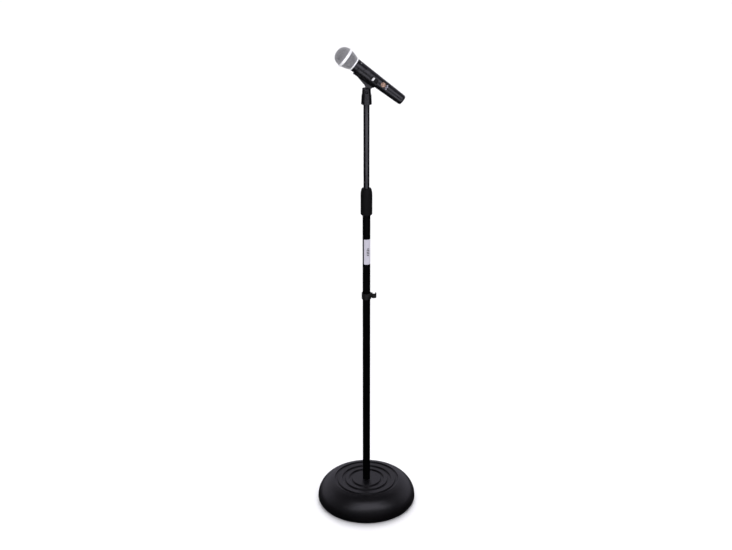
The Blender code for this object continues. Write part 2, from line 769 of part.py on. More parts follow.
def make_switch(materials, mic):
    """A slide switch in the handle's window: a dished plate, the block behind it and its thumb."""
    radial = across((math.cos(SWITCH_FACING), math.sin(SWITCH_FACING), 0), (0, 0, SWITCH_MIDDLE))
    half_width = SWITCH_HALF_WIDTH - GAP
    half_length = SWITCH_HALF_LENGTH - GAP
    slot_half_width = THUMB_HALF_WIDTH + GAP
    slot_half_length = THUMB_HALF_LENGTH + SWITCH_TRAVEL / 2 + GAP
    plate = prism(
        "mic_switch_plate",
        box_outline(-half_width, half_width, -half_length, half_length),
        *SWITCH_PLATE,
        materials["plastic"],
        mic,
        radial,
    )
    slot = prism(
        "switch_slot",
        box_outline(-slot_half_width, slot_half_width, -slot_half_length, slot_half_length),
        SWITCH_PLATE[0] - MM,
        SWITCH_PLATE[1] + MM,
        None,
        mic,
        radial,
    )
    cut(plate, slot)
    prism(
        "mic_switch_block",
        box_outline(-SWITCH_BLOCK_HALF_WIDTH, SWITCH_BLOCK_HALF_WIDTH, -half_length, half_length),
        *SWITCH_BLOCK,
        materials["plastic"],
        mic,
        radial,
    )
    thumb_rear = SWITCH_TRAVEL / 2 - THUMB_HALF_LENGTH
    thumb_front = SWITCH_TRAVEL / 2 + THUMB_HALF_LENGTH
    prism(
        "mic_switch_slider",
        box_outline(-THUMB_HALF_WIDTH, THUMB_HALF_WIDTH, thumb_rear, thumb_front),
        SWITCH_BLOCK[1] + GAP,
        THUMB_TOP,
        materials["thumb"],
        mic,
        radial,
    )


def make_connector(materials, mic):
    """The three-pin connector inside the tail, and the set screw that holds it."""
    disc_low = BODY_REAR + XLR_DEPTH
    disc_high = disc_low + XLR_DISC
    disc = turned(
        "xlr_insert",
        [(0, disc_high), (XLR_BORE - GAP, disc_high), (XLR_BORE - GAP, disc_low), (0, disc_low)],
        materials["plastic"],
        mic,
        24,
    )
    for number in range(3):
        angle = math.tau * number / 3 + math.pi
        place = (PIN_CIRCLE * math.cos(angle), PIN_CIRCLE * math.sin(angle), 0)
        bore = turned(
            f"xlr_pin_bore_{number + 1}",
            bore_outline(PIN_RADIUS, disc_low - MM, disc_high + MM),
            None,
            mic,
            TINY_SEGMENTS,
        )
        bore.location = place
        cut(disc, bore)
        pin = turned(
            f"xlr_pin_{number + 1}",
            [(0, disc_high + 3 * MM), (PIN_RADIUS, disc_high + 3 * MM), (PIN_RADIUS, BODY_REAR + 4 * MM)]
            + [(PIN_RADIUS - 0.5 * MM, BODY_REAR + 3 * MM), (0, BODY_REAR + 3 * MM)],
            materials["pin"],
            mic,
            TINY_SEGMENTS,
        )
        pin.location = place


def set_screw(name, height, facing, body, materials, mic):
    """A small screw sunk in a blind hole of the handle, just below its surface."""
    radius = body_radius(height)
    radial = across((math.cos(facing), math.sin(facing), 0), (0, 0, height))
    bottom = radius - SET_SCREW_DEPTH
    top = radius - 0.25 * MM
    pocket = turned(
        name + "_hole",
        bore_outline(SET_SCREW_RADIUS, bottom, radius + MM),
        None,
        mic,
        TINY_SEGMENTS,
        radial,
    )
    cut(body, pocket)
    turned(
        name,
        [(0, top), (SET_SCREW_RADIUS, top), (SET_SCREW_RADIUS, bottom + GAP), (0, bottom + GAP)],
        materials["screw_light"],
        mic,
        TINY_SEGMENTS,
        radial,
    )


def dome(inset, steps):
    """Outline of the grille's front, from its tip to its widest line; a slightly flattened half ball."""
    outline = []
    base = BAND_MIDDLE
    for step in range(steps + 1):
        angle = math.pi / 2 * step / steps
        radius = (GRILLE_RADIUS - inset) * math.sin(angle) ** (2 / DOME_POWER)
        height = base + (GRILLE_TIP - base - inset) * max(math.cos(angle), 0) ** (2 / DOME_POWER)
        outline.append((radius, height))
    return outline


def rear_radius(height):
    """Radius of the grille's rear part, which narrows from the band to the collar in a full curve."""
    share = (height - COLLAR[1]) / (BAND_MIDDLE - COLLAR[1])
    straight = REAR_MESH_RADIUS + (GRILLE_RADIUS - REAR_MESH_RADIUS) * share
    return straight + REAR_BULGE * math.sin(math.pi * share)


def make_grille(materials, mic):
    """The wire ball in two halves, the band and collar that hold them, and the foam inside."""
    front_low = BAND_MIDDLE + GAP
    front = [point for point in dome(0, 6) if point[1] > front_low] + [(GRILLE_RADIUS, front_low)]
    inner = [point for point in dome(GRILLE_WALL, 5) if point[1] > front_low]
    inner += [(GRILLE_RADIUS - GRILLE_WALL, front_low)]
    turned("mic_grille_front", front + inner[::-1], materials["mesh"], mic)

    rear_high = BAND_MIDDLE - GAP
    heights = [COLLAR[1] + GAP + (rear_high - COLLAR[1] - GAP) * step / 3 for step in range(4)]
    rear = [(rear_radius(height), height) for height in heights]
    lining = [(radius - GRILLE_WALL, height) for radius, height in rear]
    turned("mic_grille_rear", rear[::-1] + lining, materials["mesh"], mic)

    ring_bore = GRILLE_RADIUS + GAP
    low = BAND_MIDDLE - BAND_HALF_WIDTH
    high = BAND_MIDDLE + BAND_HALF_WIDTH
    collar_bore = 12.6 * MM
    turned(
        "mic_grille_band",
        [(ring_bore, high), (ring_bore + 0.5 * MM, high), (ring_bore + 0.9 * MM, BAND_MIDDLE)]
        + [(ring_bore + 0.5 * MM, low), (ring_bore, low)],
        materials["chrome"],
        mic,
    )
    collar_radius = body_radius(COLLAR[0])
    turned(
        "mic_grille_collar",
        [(collar_radius + 0.1 * MM, COLLAR[1]), (collar_radius + 0.5 * MM, sum(COLLAR) / 2)]
        + [(collar_radius + 0.1 * MM, COLLAR[0]), (collar_bore, COLLAR[0]), (collar_bore, COLLAR[1])],
        materials["chrome"],
        mic,
    )
    foam_outside = [point for point in dome(GRILLE_WALL + 2 * GAP, 5) if point[1] > BAND_MIDDLE]
    foam_inside = [point for point in dome(GRILLE_WALL + 2 * GAP + FOAM_WALL, 4) if point[1] > BAND_MIDDLE]
    foam_low = COLLAR[1] + 5 * MM
    foam_radius = rear_radius(foam_low) - GRILLE_WALL - GAP
    waist = BAND_MIDDLE - 2 * MM
    waist_radius = GRILLE_RADIUS - GRILLE_WALL - 2 * GAP
    foam_outside += [(waist_radius, waist), (foam_radius, foam_low)]
    foam_inside += [(waist_radius - FOAM_WALL, waist), (foam_radius - FOAM_WALL, foam_low)]
    turned("mic_foam", foam_outside + foam_inside[::-1], materials["foam"], mic, SMALL_SEGMENTS)


def make_capsule(materials, mic):
    """The capsule, standing on its soft mount in the front of the handle."""
    flange = 12.2 * MM
    stem = 11.4 * MM
    turned(
        "mic_capsule_mount",
        [(MOUNT_BORE, MOUNT_HIGH), (flange, MOUNT_HIGH), (flange, BODY_FRONT - 2 * MM)]
        + [(stem, BODY_FRONT - 3 * MM), (stem, MOUNT_LOW), (MOUNT_BORE, MOUNT_LOW)],
        materials["rubber"],
        mic,
        SMALL_SEGMENTS,
    )
    turned(
        "mic_capsule",
        [(0, CAPSULE_TOP), (CAPSULE_NECK_RADIUS, CAPSULE_TOP), (CAPSULE_RADIUS, CAPSULE_TOP - 3 * MM)]
        + [(CAPSULE_RADIUS, CAPSULE_LOW), (CAPSULE_NECK_RADIUS, CAPSULE_LOW)]
        + [(CAPSULE_NECK_RADIUS, MOUNT_HIGH + GAP), (0, MOUNT_HIGH + GAP)],
        materials["steel"],
        mic,
        SMALL_SEGMENTS,
    )


def main():
    clear_scene()
    materials = {
        "base": make_material("base", (0.012, 0.012, 0.013), 0.32),
        "cement": make_material("cement", (0.32, 0.31, 0.29), 0.9),
        "plate": make_material("plate", (0.03, 0.03, 0.03), 0.6),
        "rubber": make_material("rubber", (0.015, 0.015, 0.015), 0.8),
        "screw": make_material("screw", (0.05, 0.05, 0.05), 0.4, 1.0),
        "steel": make_material("steel", (0.55, 0.55, 0.56), 0.35, 1.0),
        "brass": make_material("brass", (0.8, 0.6, 0.25), 0.3, 1.0),
        "nylon": make_material("nylon", (0.7, 0.7, 0.66), 0.5),
        "tube": make_material("tube", (0.01, 0.01, 0.01), 0.35),
        "upper_tube": make_material("upper_tube", (0.03, 0.03, 0.035), 0.3),
        "label": make_material("label", (0.75, 0.75, 0.78), 0.5),
        "plastic": make_material("plastic", (0.02, 0.02, 0.02), 0.45),
        "clip": make_material("clip", (0.015, 0.015, 0.017), 0.4),
        "body": make_material("body", (0.015, 0.015, 0.018), 0.35),
        "badge": make_material("badge", (0.42, 0.2, 0.12), 0.35, 1.0),
        "thumb": make_material("thumb", (0.75, 0.75, 0.75), 0.45),
        "pin": make_material("pin", (0.8, 0.78, 0.7), 0.25, 1.0),
        "screw_light": make_material("screw_light", (0.4, 0.4, 0.4), 0.35, 1.0),
        "mesh": make_material("mesh", (0.35, 0.35, 0.35), 0.4, 1.0),
        "chrome": make_material("chrome", (0.85, 0.85, 0.85), 0.2, 1.0),
        "foam": make_material("foam", (0.05, 0.05, 0.05), 0.95),
    }
    make_base(materials)
    make_pole_foot(materials)
    make_lower_tube(materials)
    make_cable_clip(materials)
    make_clutch(materials)
    mast = make_axis("mast_axis")
    make_upper_tube(materials, mast)
    make_clip_socket(materials, mast)
    tilt = make_axis("clip_tilt_axis", (0, 0, PIVOT_HEIGHT), (0, MIC_TILT, 0))
    make_cradle(materials, tilt)
    mic = make_axis("mic_axis", (MIC_OFFSET, 0, 0), parent=tilt)
    body = make_mic_body(materials, mic)
    make_switch(materials, mic)
    make_connector(materials, mic)
    set_screw("mic_body_screw", 50 * MM, math.radians(-26), body, materials, mic)
    set_screw("xlr_screw", BODY_REAR + XLR_DEPTH + 3.5 * MM, math.radians(180), body, materials, mic)
    make_grille(materials, mic)
    make_capsule(materials, mic)


main()
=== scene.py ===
"""The looks of a round-base microphone stand and its handheld microphone, built around the CAD frame.

Lengths are metres in the frame's axes: +Z up the pole, with the microphone in the XZ plane. The clip and
the microphone are made in their own axes, with local Z along the handle towards the grille and local X up.
"""
import json
import math

import bmesh
import bpy
from mathutils import Matrix, Vector, noise


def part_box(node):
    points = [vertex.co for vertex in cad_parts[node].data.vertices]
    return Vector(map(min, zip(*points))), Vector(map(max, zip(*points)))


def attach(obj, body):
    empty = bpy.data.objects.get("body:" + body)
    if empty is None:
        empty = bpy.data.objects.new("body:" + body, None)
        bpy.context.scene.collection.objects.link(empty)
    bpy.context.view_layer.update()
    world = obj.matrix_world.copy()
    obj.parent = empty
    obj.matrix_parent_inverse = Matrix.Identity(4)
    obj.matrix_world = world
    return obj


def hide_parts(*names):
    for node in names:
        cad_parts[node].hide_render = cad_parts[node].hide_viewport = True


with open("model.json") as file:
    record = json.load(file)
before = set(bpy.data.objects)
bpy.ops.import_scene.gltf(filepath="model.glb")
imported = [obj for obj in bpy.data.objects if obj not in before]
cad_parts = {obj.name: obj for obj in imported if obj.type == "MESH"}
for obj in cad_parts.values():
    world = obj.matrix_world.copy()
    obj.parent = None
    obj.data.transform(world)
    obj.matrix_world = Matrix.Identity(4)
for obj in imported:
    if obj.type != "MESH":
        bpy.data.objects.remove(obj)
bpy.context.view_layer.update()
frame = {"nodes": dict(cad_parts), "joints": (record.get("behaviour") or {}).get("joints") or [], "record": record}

MM = 0.001
CENTRED = Matrix.Identity(4)


# Placement, measured from the frame

def joint(name):
    return next(entry for entry in frame["joints"] if entry["name"] == name)


def measure(node, place=CENTRED):
    """Lowest and highest corners of a CAD node along the axes of a placement matrix."""
    back = place.inverted()
    points = [back @ vert.co for vert in frame["nodes"][node].data.vertices]
    low = Vector([min(point[axis] for point in points) for axis in range(3)])
    high = Vector([max(point[axis] for point in points) for axis in range(3)])
    return low, high


def clip_axes():
    """The axes of the tilting clip, with the origin on its pivot."""
    along = Vector(joint("mic_pull")["axis"]).normalized()
    sideways = Vector((0, 1, 0))
    up = sideways.cross(along)
    turn = Matrix((up, sideways, along)).transposed().to_4x4()
    return Matrix.Translation(joint("clip_tilt")["pos_m"]) @ turn


CLIP = clip_axes()
BODY_LOW, BODY_HIGH = measure("mic_body", CLIP)
MIC_OFFSET = (BODY_LOW.x + BODY_HIGH.x) / 2
MIC = CLIP @ Matrix.Translation((MIC_OFFSET, 0, 0))

BODY_REAR = BODY_LOW.z
BODY_FRONT = BODY_HIGH.z
FRONT_RADIUS = BODY_HIGH.y
TAPER = 0.02827  # growth of the handle's radius per metre of length
POLE_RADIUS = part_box("lower_tube")[1].x


def handle_radius(height):
    return FRONT_RADIUS - (BODY_FRONT - height) * TAPER


# Mesh helpers

def finish_mesh(name, bm, body, material, place=CENTRED, replaces=(), sharp=40):
    """Turns a bmesh into a piece that rides on a CAD body."""
    bmesh.ops.remove_doubles(bm, verts=bm.verts, dist=1e-7)
    bmesh.ops.recalc_face_normals(bm, faces=bm.faces)
    mesh = bpy.data.meshes.new(name)
    bm.to_mesh(mesh)
    bm.free()
    mesh.shade_smooth()
    mesh.set_sharp_from_angle(angle=math.radians(sharp))
    return add_piece(name, mesh, body, material, place, replaces)


def add_piece(name, mesh, body, material, place=CENTRED, replaces=()):
    piece = bpy.data.objects.new(name, mesh)
    bpy.context.scene.collection.objects.link(piece)
    piece.matrix_world = place
    mesh.materials.clear()
    mesh.materials.append(material)
    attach(piece, body)
    if replaces:
        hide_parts(*replaces)
    return piece


def helper_object(name, bm, place=CENTRED):
    """A plain object that is used up by a modifier and then removed."""
    bmesh.ops.recalc_face_normals(bm, faces=bm.faces)
    mesh = bpy.data.meshes.new(name)
    bm.to_mesh(mesh)
    bm.free()
    helper = bpy.data.objects.new(name, mesh)
    helper.matrix_world = place
    bpy.context.scene.collection.objects.link(helper)
    return helper


def settle(piece):
    """Applies all the modifiers of a piece."""
    bpy.context.view_layer.update()
    depsgraph = bpy.context.evaluated_depsgraph_get()
    mesh = bpy.data.meshes.new_from_object(piece.evaluated_get(depsgraph))
    old = piece.data
    piece.modifiers.clear()
    piece.data = mesh
    bpy.data.meshes.remove(old)


def combine(piece, *helpers, operation="DIFFERENCE"):
    """Cuts helper solids out of a piece, or joins them on."""
    for helper in helpers:
        modifier = piece.modifiers.new("combine", "BOOLEAN")
        modifier.operation = operation
        modifier.solver = "EXACT"
        modifier.object = helper
    settle(piece)
    for helper in helpers:
        bpy.data.objects.remove(helper, do_unlink=True)


def add_bevel(piece, width, segments=3, angle=40):
    modifier = piece.modifiers.new("bevel", "BEVEL")
    modifier.width = width
    modifier.segments = segments
    modifier.limit_method = "ANGLE"
    modifier.angle_limit = math.radians(angle)
    modifier.use_clamp_overlap = True
    settle(piece)


def shade(piece, angle=35):
    piece.data.shade_smooth()
    piece.data.set_sharp_from_angle(angle=math.radians(angle))


def arc(centre, radius, start, end, steps):
    """Points of an arc, from one angle to another, both included."""
    angles = [start + (end - start) * step / steps for step in range(steps + 1)]
    return [(centre[0] + radius * math.cos(a), centre[1] + radius * math.sin(a)) for a in angles]


def rounded(corners, steps=5, closed=True):
    """An outline of (x, y, reach) corners, with each corner eased over its reach along both sides."""
    outline = []
    for index, (x, y, reach) in enumerate(corners):
        here = Vector((x, y))
        at_end = not closed and index in (0, len(corners) - 1)
        if reach == 0 or at_end:
            outline.append((x, y))
            continue
        before = Vector(corners[index - 1][:2]) - here
        after = Vector(corners[(index + 1) % len(corners)][:2]) - here
        start = here + before.normalized() * min(reach, before.length * 0.49)
        end = here + after.normalized() * min(reach, after.length * 0.49)
        for step in range(steps + 1):
            share = step / steps
            outline.append(tuple(start.lerp(here, share).lerp(here.lerp(end, share), share)))
    return outline


def dense(points, longest, closed=False):
    """The same outline, with its long stretches divided."""
    ends = points[1:] + points[:1] if closed else points[1:]
    result = []
    for start, end in zip(points, ends):
        length = math.dist(start, end)
        pieces = max(1, math.ceil(length / longest))
        for piece in range(pieces):
            share = piece / pieces
            result.append((start[0] + (end[0] - start[0]) * share, start[1] + (end[1] - start[1]) * share))
    if not closed:
        result.append(points[-1])
    return result


def lathe(outline, segments=96):
    """A solid of revolution about local Z, from (radius, height) points."""
    bm = bmesh.new()
    closed = outline[0][0] > 0 and outline[-1][0] > 0
    turns = [math.tau * number / segments for number in range(segments)]
    rings = []
    for radius, height in outline:
        if radius < 1e-9:
            rings.append([bm.verts.new((0, 0, height))])
        else:
            rings.append([bm.verts.new((radius * math.cos(a), radius * math.sin(a), height)) for a in turns])
    pairs = list(zip(rings, rings[1:]))
    if closed:
        pairs.append((rings[-1], rings[0]))
    for near, far in pairs:
        for number in range(segments):
            after = (number + 1) % segments
            corners = [near[number % len(near)], near[after % len(near)]]
            corners += [far[after % len(far)], far[number % len(far)]]
            corners = list(dict.fromkeys(corners))
            if len(corners) > 2:
                bm.faces.new(corners)
    return bm


def loft(outlines, turn=CENTRED, bm=None):
    """A solid through a list of closed outlines of equally many (x, y, z) points."""
    bm = bm or bmesh.new()
    loops = [[bm.verts.new(turn @ Vector(point)) for point in outline] for outline in outlines]
    bm.faces.new(loops[0])
    bm.faces.new(loops[-1][::-1])
    for near, far in zip(loops, loops[1:]):
        for number in range(len(near)):
            after = (number + 1) % len(near)
            bm.faces.new((near[number], near[after], far[after], far[number]))
    return bm


def slab(outline, low, high, turn=CENTRED, bm=None):
    """A flat outline of (x, y) points, thickened along local Z."""
    return loft([[(x, y, low) for x, y in outline], [(x, y, high) for x, y in outline]], turn, bm)


def rectangle(half_width, half_length, corner, steps=4):
    """A rounded rectangle round the origin."""
    corners = [(half_width, half_length), (-half_width, half_length)]
    corners += [(-half_width, -half_length), (half_width, -half_length)]
    return rounded([(x, y, corner) for x, y in corners], steps)


def rod(radius, top, bottom, segments=48):
    """A plain cylinder on local Z."""
    return lathe([(0, top), (radius, top), (radius, bottom), (0, bottom)], segments)


def hexagon(radius):
    return [(radius * math.cos(a), radius * math.sin(a)) for a in [math.tau * k / 6 for k in range(6)]]


def shift(bm, x, y=0.0):
    for vert in bm.verts:
        vert.co.x += x
        vert.co.y += y
    return bm


def facing_out(facing, height=0.0):
    """Axes on the handle's axis: local Z points outwards, local X round it, local Y to the grille."""
    out = Vector((math.cos(facing), math.sin(facing), 0))
    along = Vector((0, 0, 1))
    turn = Matrix((along.cross(out), along, out)).transposed().to_4x4()
    return Matrix.Translation((0, 0, height)) @ turn


def wrap(bm, radius_at, facing, height=0.0):
    """Bends flat geometry round local Z: x becomes arc length, y height, and z the rise above the surface."""
    for vert in bm.verts:
        level = height + vert.co.y
        radius = radius_at(level)
        angle = facing + vert.co.x / radius
        distance = radius + vert.co.z
        vert.co = (distance * math.cos(angle), distance * math.sin(angle), level)
    return bm


def grid_slab(half_width, half_length, corner, thickness, columns, rows):
    """A thin plate with rounded corners and a fine grid, ready to be wrapped."""
    bm = bmesh.new()
    bmesh.ops.create_grid(bm, x_segments=columns, y_segments=rows, size=1)
    for vert in bm.verts:
        x = vert.co.x * half_width
        y = vert.co.y * half_length
        over_x = abs(x) - (half_width - corner)
        over_y = abs(y) - (half_length - corner)
        if over_x > 0 and over_y > 0:
            pull = corner / max(math.hypot(over_x, over_y), corner)
            x = math.copysign(half_width - corner + over_x * pull, x)
            y = math.copysign(half_length - corner + over_y * pull, y)
        vert.co = (x, y, 0)
    lifted = bmesh.ops.extrude_face_region(bm, geom=list(bm.faces), use_keep_orig=True)
    for item in lifted["geom"]:
        if isinstance(item, bmesh.types.BMVert):
            item.co.z += thickness
    return bm


# Materials

class Finish:
    """A Principled material whose colour, roughness and bump are built up from noise at real scale."""

    def __init__(self, name, colour, roughness, metallic=0.0, specular=0.5):
        self.material = bpy.data.materials.new(name)
        self.material.use_nodes = True
        self.tree = self.material.node_tree
        self.shader = self.tree.nodes["Principled BSDF"]
        self.shader.inputs["Metallic"].default_value = metallic
        self.shader.inputs["Specular IOR Level"].default_value = specular
        self.shader.inputs["Base Color"].default_value = (*colour, 1)
        self.shader.inputs["Roughness"].default_value = roughness
        self.coordinates = self.tree.nodes.new("ShaderNodeTexCoord").outputs["Object"]
        self.last_bump = None

    def node(self, kind, **settings):
        node = self.tree.nodes.new(kind)
        for key, value in settings.items():
            setattr(node, key, value)
        return node

    def link(self, output, target):
        self.tree.links.new(output, target)

    def stretched(self, stretch):
        mapping = self.node("ShaderNodeMapping")
        mapping.inputs["Scale"].default_value = stretch
        self.link(self.coordinates, mapping.inputs["Vector"])
        return mapping.outputs["Vector"]

    def noise(self, size, detail=3.0, stretch=(1, 1, 1)):
        """Noise whose features are about the given size in metres."""
        texture = self.node("ShaderNodeTexNoise")
        texture.inputs["Scale"].default_value = 1 / size
        texture.inputs["Detail"].default_value = detail
        self.link(self.stretched(stretch), texture.inputs["Vector"])
        return texture.outputs["Fac"]

    def cells(self, size):
        """The distance from the nearest of many points that are about the given size apart."""
        texture = self.node("ShaderNodeTexVoronoi", feature="F1")
        texture.inputs["Scale"].default_value = 1 / size
        self.link(self.coordinates, texture.inputs["Vector"])
        return texture.outputs["Distance"]

    def spread(self, value, low, high, from_low=0.3, from_high=0.7):
        """Maps a value from its usual range to another range."""
        ranged = self.node("ShaderNodeMapRange")
        ranged.inputs["From Min"].default_value = from_low
        ranged.inputs["From Max"].default_value = from_high
        ranged.inputs["To Min"].default_value = low
        ranged.inputs["To Max"].default_value = high
        self.link(value, ranged.inputs["Value"])
        return ranged.outputs["Result"]

    def tint(self, factor, colour):
        """Mixes another colour in where the factor is high."""
        mix = self.node("ShaderNodeMix", data_type="RGBA")
        self.link(factor, mix.inputs["Factor"])
        base = self.shader.inputs["Base Color"]
        if base.is_linked:
            self.link(base.links[0].from_socket, mix.inputs["A"])
        else:
            mix.inputs["A"].default_value = base.default_value
        mix.inputs["B"].default_value = (*colour, 1)
        self.link(mix.outputs["Result"], base)
        return self

    def vary_roughness(self, value, low, high, from_low=0.3, from_high=0.7):
        self.link(self.spread(value, low, high, from_low, from_high), self.shader.inputs["Roughness"])
        return self

    def bump(self, height, depth):
        """Adds relief whose full height is the given depth in metres."""
        bump = self.node("ShaderNodeBump")
        bump.inputs["Distance"].default_value = depth
        self.link(height, bump.inputs["Height"])
        if self.last_bump is not None:
            self.link(self.last_bump, bump.inputs["Normal"])
        self.last_bump = bump.outputs["Normal"]
        self.link(self.last_bump, self.shader.inputs["Normal"])
        return self

    def worn_edges(self, colour, low=0.53, high=0.6):
        """Lightens the outer edges, where handling polishes them."""
        geometry = self.node("ShaderNodeNewGeometry")
        self.tint(self.spread(geometry.outputs["Pointiness"], 0.0, 0.6, low, high), colour)
        return self


def grey(level):
    return (level, level, level)


def base_finish():
    """Satin black with the fine speckle of a textured powder coat."""
    finish = Finish("base_satin_black", (0.0014, 0.0013, 0.0016), 0.32, specular=0.5)
    speckle = finish.noise(0.9 * MM, 2.0)
    finish.tint(finish.spread(finish.noise(40 * MM, 3.0), 0.0, 0.5), (0.003, 0.0022, 0.0026))
    finish.tint(finish.spread(speckle, 0.0, 0.7, 0.52, 0.7), (0.007, 0.0065, 0.009))
    finish.vary_roughness(finish.noise(1.6 * MM, 3.0), 0.27, 0.42)
    finish.bump(speckle, 0.1 * MM)
    finish.bump(finish.noise(0.35 * MM, 2.0), 0.03 * MM)
    finish.bump(finish.noise(2.2 * MM, 2.0), 0.16 * MM)
    finish.worn_edges((0.02, 0.019, 0.023))
    return finish.material


def paint_finish(name, colour, light, roughness, specular):
    """Smooth satin paint on metal, with a faint orange peel and rubbed patches."""
    finish = Finish(name, colour, roughness, specular=specular)
    finish.tint(finish.spread(finish.noise(25 * MM, 4.0, (1, 1, 0.25)), 0.0, 0.7), light)
    finish.vary_roughness(finish.noise(9 * MM, 4.0, (1, 1, 0.3)), roughness - 0.05, roughness + 0.07)
    finish.bump(finish.noise(3 * MM, 2.0), 0.012 * MM)
    finish.bump(finish.noise(0.5 * MM, 2.0), 0.006 * MM)
    return finish.material


def plastic_finish(name, colour, light, roughness, specular):
    """Moulded plastic with a fine spark-eroded grain and edges rubbed a little lighter."""
    grain = 0.45 * MM
    relief = 0.03 * MM
    finish = Finish(name, colour, roughness, specular=specular)
    finish.tint(finish.spread(finish.noise(12 * MM, 4.0), 0.0, 0.7), light)
    finish.vary_roughness(finish.noise(4 * MM, 3.0), roughness - 0.06, roughness + 0.08)
    finish.bump(finish.cells(grain), relief)
    finish.bump(finish.noise(grain * 0.6, 2.0), relief * 0.5)
    finish.worn_edges([channel * 3 + 0.008 for channel in colour], 0.54, 0.64)
    return finish.material


def metal_finish(name, colour, dark, roughness, scratch=(1, 1, 12), grain=0.6 * MM, metallic=1.0):
    """Plated or turned metal, with fine tool lines and slight tarnish."""
    finish = Finish(name, colour, roughness, metallic=metallic)
    lines = finish.noise(grain, 3.0, scratch)
    finish.tint(finish.spread(finish.noise(6 * MM, 4.0), 0.0, 0.6, 0.45, 0.75), dark)
    finish.vary_roughness(lines, roughness - 0.06, roughness + 0.12)
    finish.bump(lines, 0.008 * MM)
    return finish.material


def wire_finish():
    """Dull nickel on drawn steel wire, darker where dust gathers."""
    finish = Finish("woven_wire", grey(0.6), 0.4, metallic=0.5)
    finish.tint(finish.spread(finish.noise(3.5 * MM, 3.0), 0.0, 0.8), (0.44, 0.44, 0.445))
    finish.vary_roughness(finish.noise(0.8 * MM, 2.0), 0.32, 0.52)
    finish.bump(finish.noise(0.2 * MM, 2.0), 0.01 * MM)
    return finish.material


def foam_finish():
    finish = Finish("open_cell_foam", (0.02, 0.02, 0.021), 0.95, specular=0.15)
    pores = finish.cells(0.7 * MM)
    # The tint darkens the middle of each cell, which the bump sinks into a hollow: painted shade in the pores.
    finish.tint(finish.spread(pores, 1.0, 0.0, 0.1, 0.5), grey(0.004))
    finish.bump(pores, 0.25 * MM)
    return finish.material


def rubber_finish():
    finish = Finish("foot_rubber", grey(0.012), 0.75, specular=0.3)
    finish.tint(finish.spread(finish.noise(7 * MM, 4.0), 0.0, 0.6), (0.03, 0.029, 0.028))
    finish.vary_roughness(finish.noise(2 * MM, 3.0), 0.65, 0.88)
    finish.bump(finish.noise(0.6 * MM, 3.0), 0.04 * MM)
    return finish.material


def cement_finish():
    finish = Finish("cast_cement", (0.32, 0.31, 0.29), 0.9, specular=0.2)
    finish.tint(finish.spread(finish.noise(9 * MM, 6.0), 0.0, 0.8), (0.2, 0.195, 0.185))
    finish.bump(finish.cells(2.5 * MM), 0.3 * MM)
    finish.bump(finish.noise(0.8 * MM, 4.0), 0.2 * MM)
    return finish.material


def paper_finish():
    """Slightly lilac coated paper with fine fibres and yellowed, rubbed patches."""
    finish = Finish("label_paper", (0.54, 0.525, 0.59), 0.5, specular=0.3)
    finish.tint(finish.spread(finish.noise(9 * MM, 4.0), 0.0, 0.5, 0.4, 0.75), (0.46, 0.445, 0.5))
    finish.vary_roughness(finish.noise(2 * MM, 4.0), 0.42, 0.62)
    finish.bump(finish.noise(0.35 * MM, 5.0, (1, 1, 0.4)), 0.012 * MM)
    return finish.material


def print_finish(name, colour):
    """Printed ink, slightly broken up by the surface below."""
    finish = Finish(name, colour, 0.55, specular=0.3)
    faded = [channel * 1.35 + 0.02 for channel in colour]
    finish.tint(finish.spread(finish.noise(0.7 * MM, 3.0), 0.0, 0.9, 0.5, 0.75), faded)
    finish.vary_roughness(finish.noise(0.4 * MM, 2.0), 0.48, 0.68)
    finish.bump(finish.noise(0.25 * MM, 3.0), 0.008 * MM)
    return finish.material


def badge_finish():
    """Brushed copper-coloured metal with brown tarnish in patches."""
    finish = Finish("badge_copper", (0.5, 0.34, 0.25), 0.36, metallic=0.6)
    finish.tint(finish.spread(finish.noise(3.2 * MM, 4.0), 0.0, 0.9, 0.42, 0.6), (0.16, 0.085, 0.06))
    finish.vary_roughness(finish.noise(0.5 * MM, 3.0, (1, 8, 1)), 0.28, 0.5)
    finish.bump(finish.noise(0.3 * MM, 3.0, (1, 8, 1)), 0.01 * MM)
    return finish.material


def thumb_finish():
    finish = Finish("switch_white", (0.74, 0.74, 0.73), 0.42)
    finish.tint(finish.spread(finish.noise(1.5 * MM, 4.0), 0.0, 0.5, 0.5, 0.75), (0.56, 0.55, 0.52))
    finish.vary_roughness(finish.noise(0.8 * MM, 3.0), 0.35, 0.52)
    finish.bump(finish.cells(0.3 * MM), 0.01 * MM)
    return finish.material


def nylon_finish():
    finish = Finish("natural_nylon", (0.66, 0.65, 0.6), 0.45)
    finish.tint(finish.spread(finish.noise(5 * MM, 4.0), 0.0, 0.5), (0.56, 0.54, 0.47))
    finish.vary_roughness(finish.noise(1.5 * MM, 3.0), 0.38, 0.55)
    finish.bump(finish.noise(0.5 * MM, 3.0), 0.02 * MM)
    return finish.material


def floor_finish():
    finish = Finish("studio_floor", grey(0.9), 0.8, specular=0.1)
    finish.tint(finish.spread(finish.noise(0.6, 3.0), 0.0, 0.2), (0.885, 0.885, 0.89))
    return finish.material


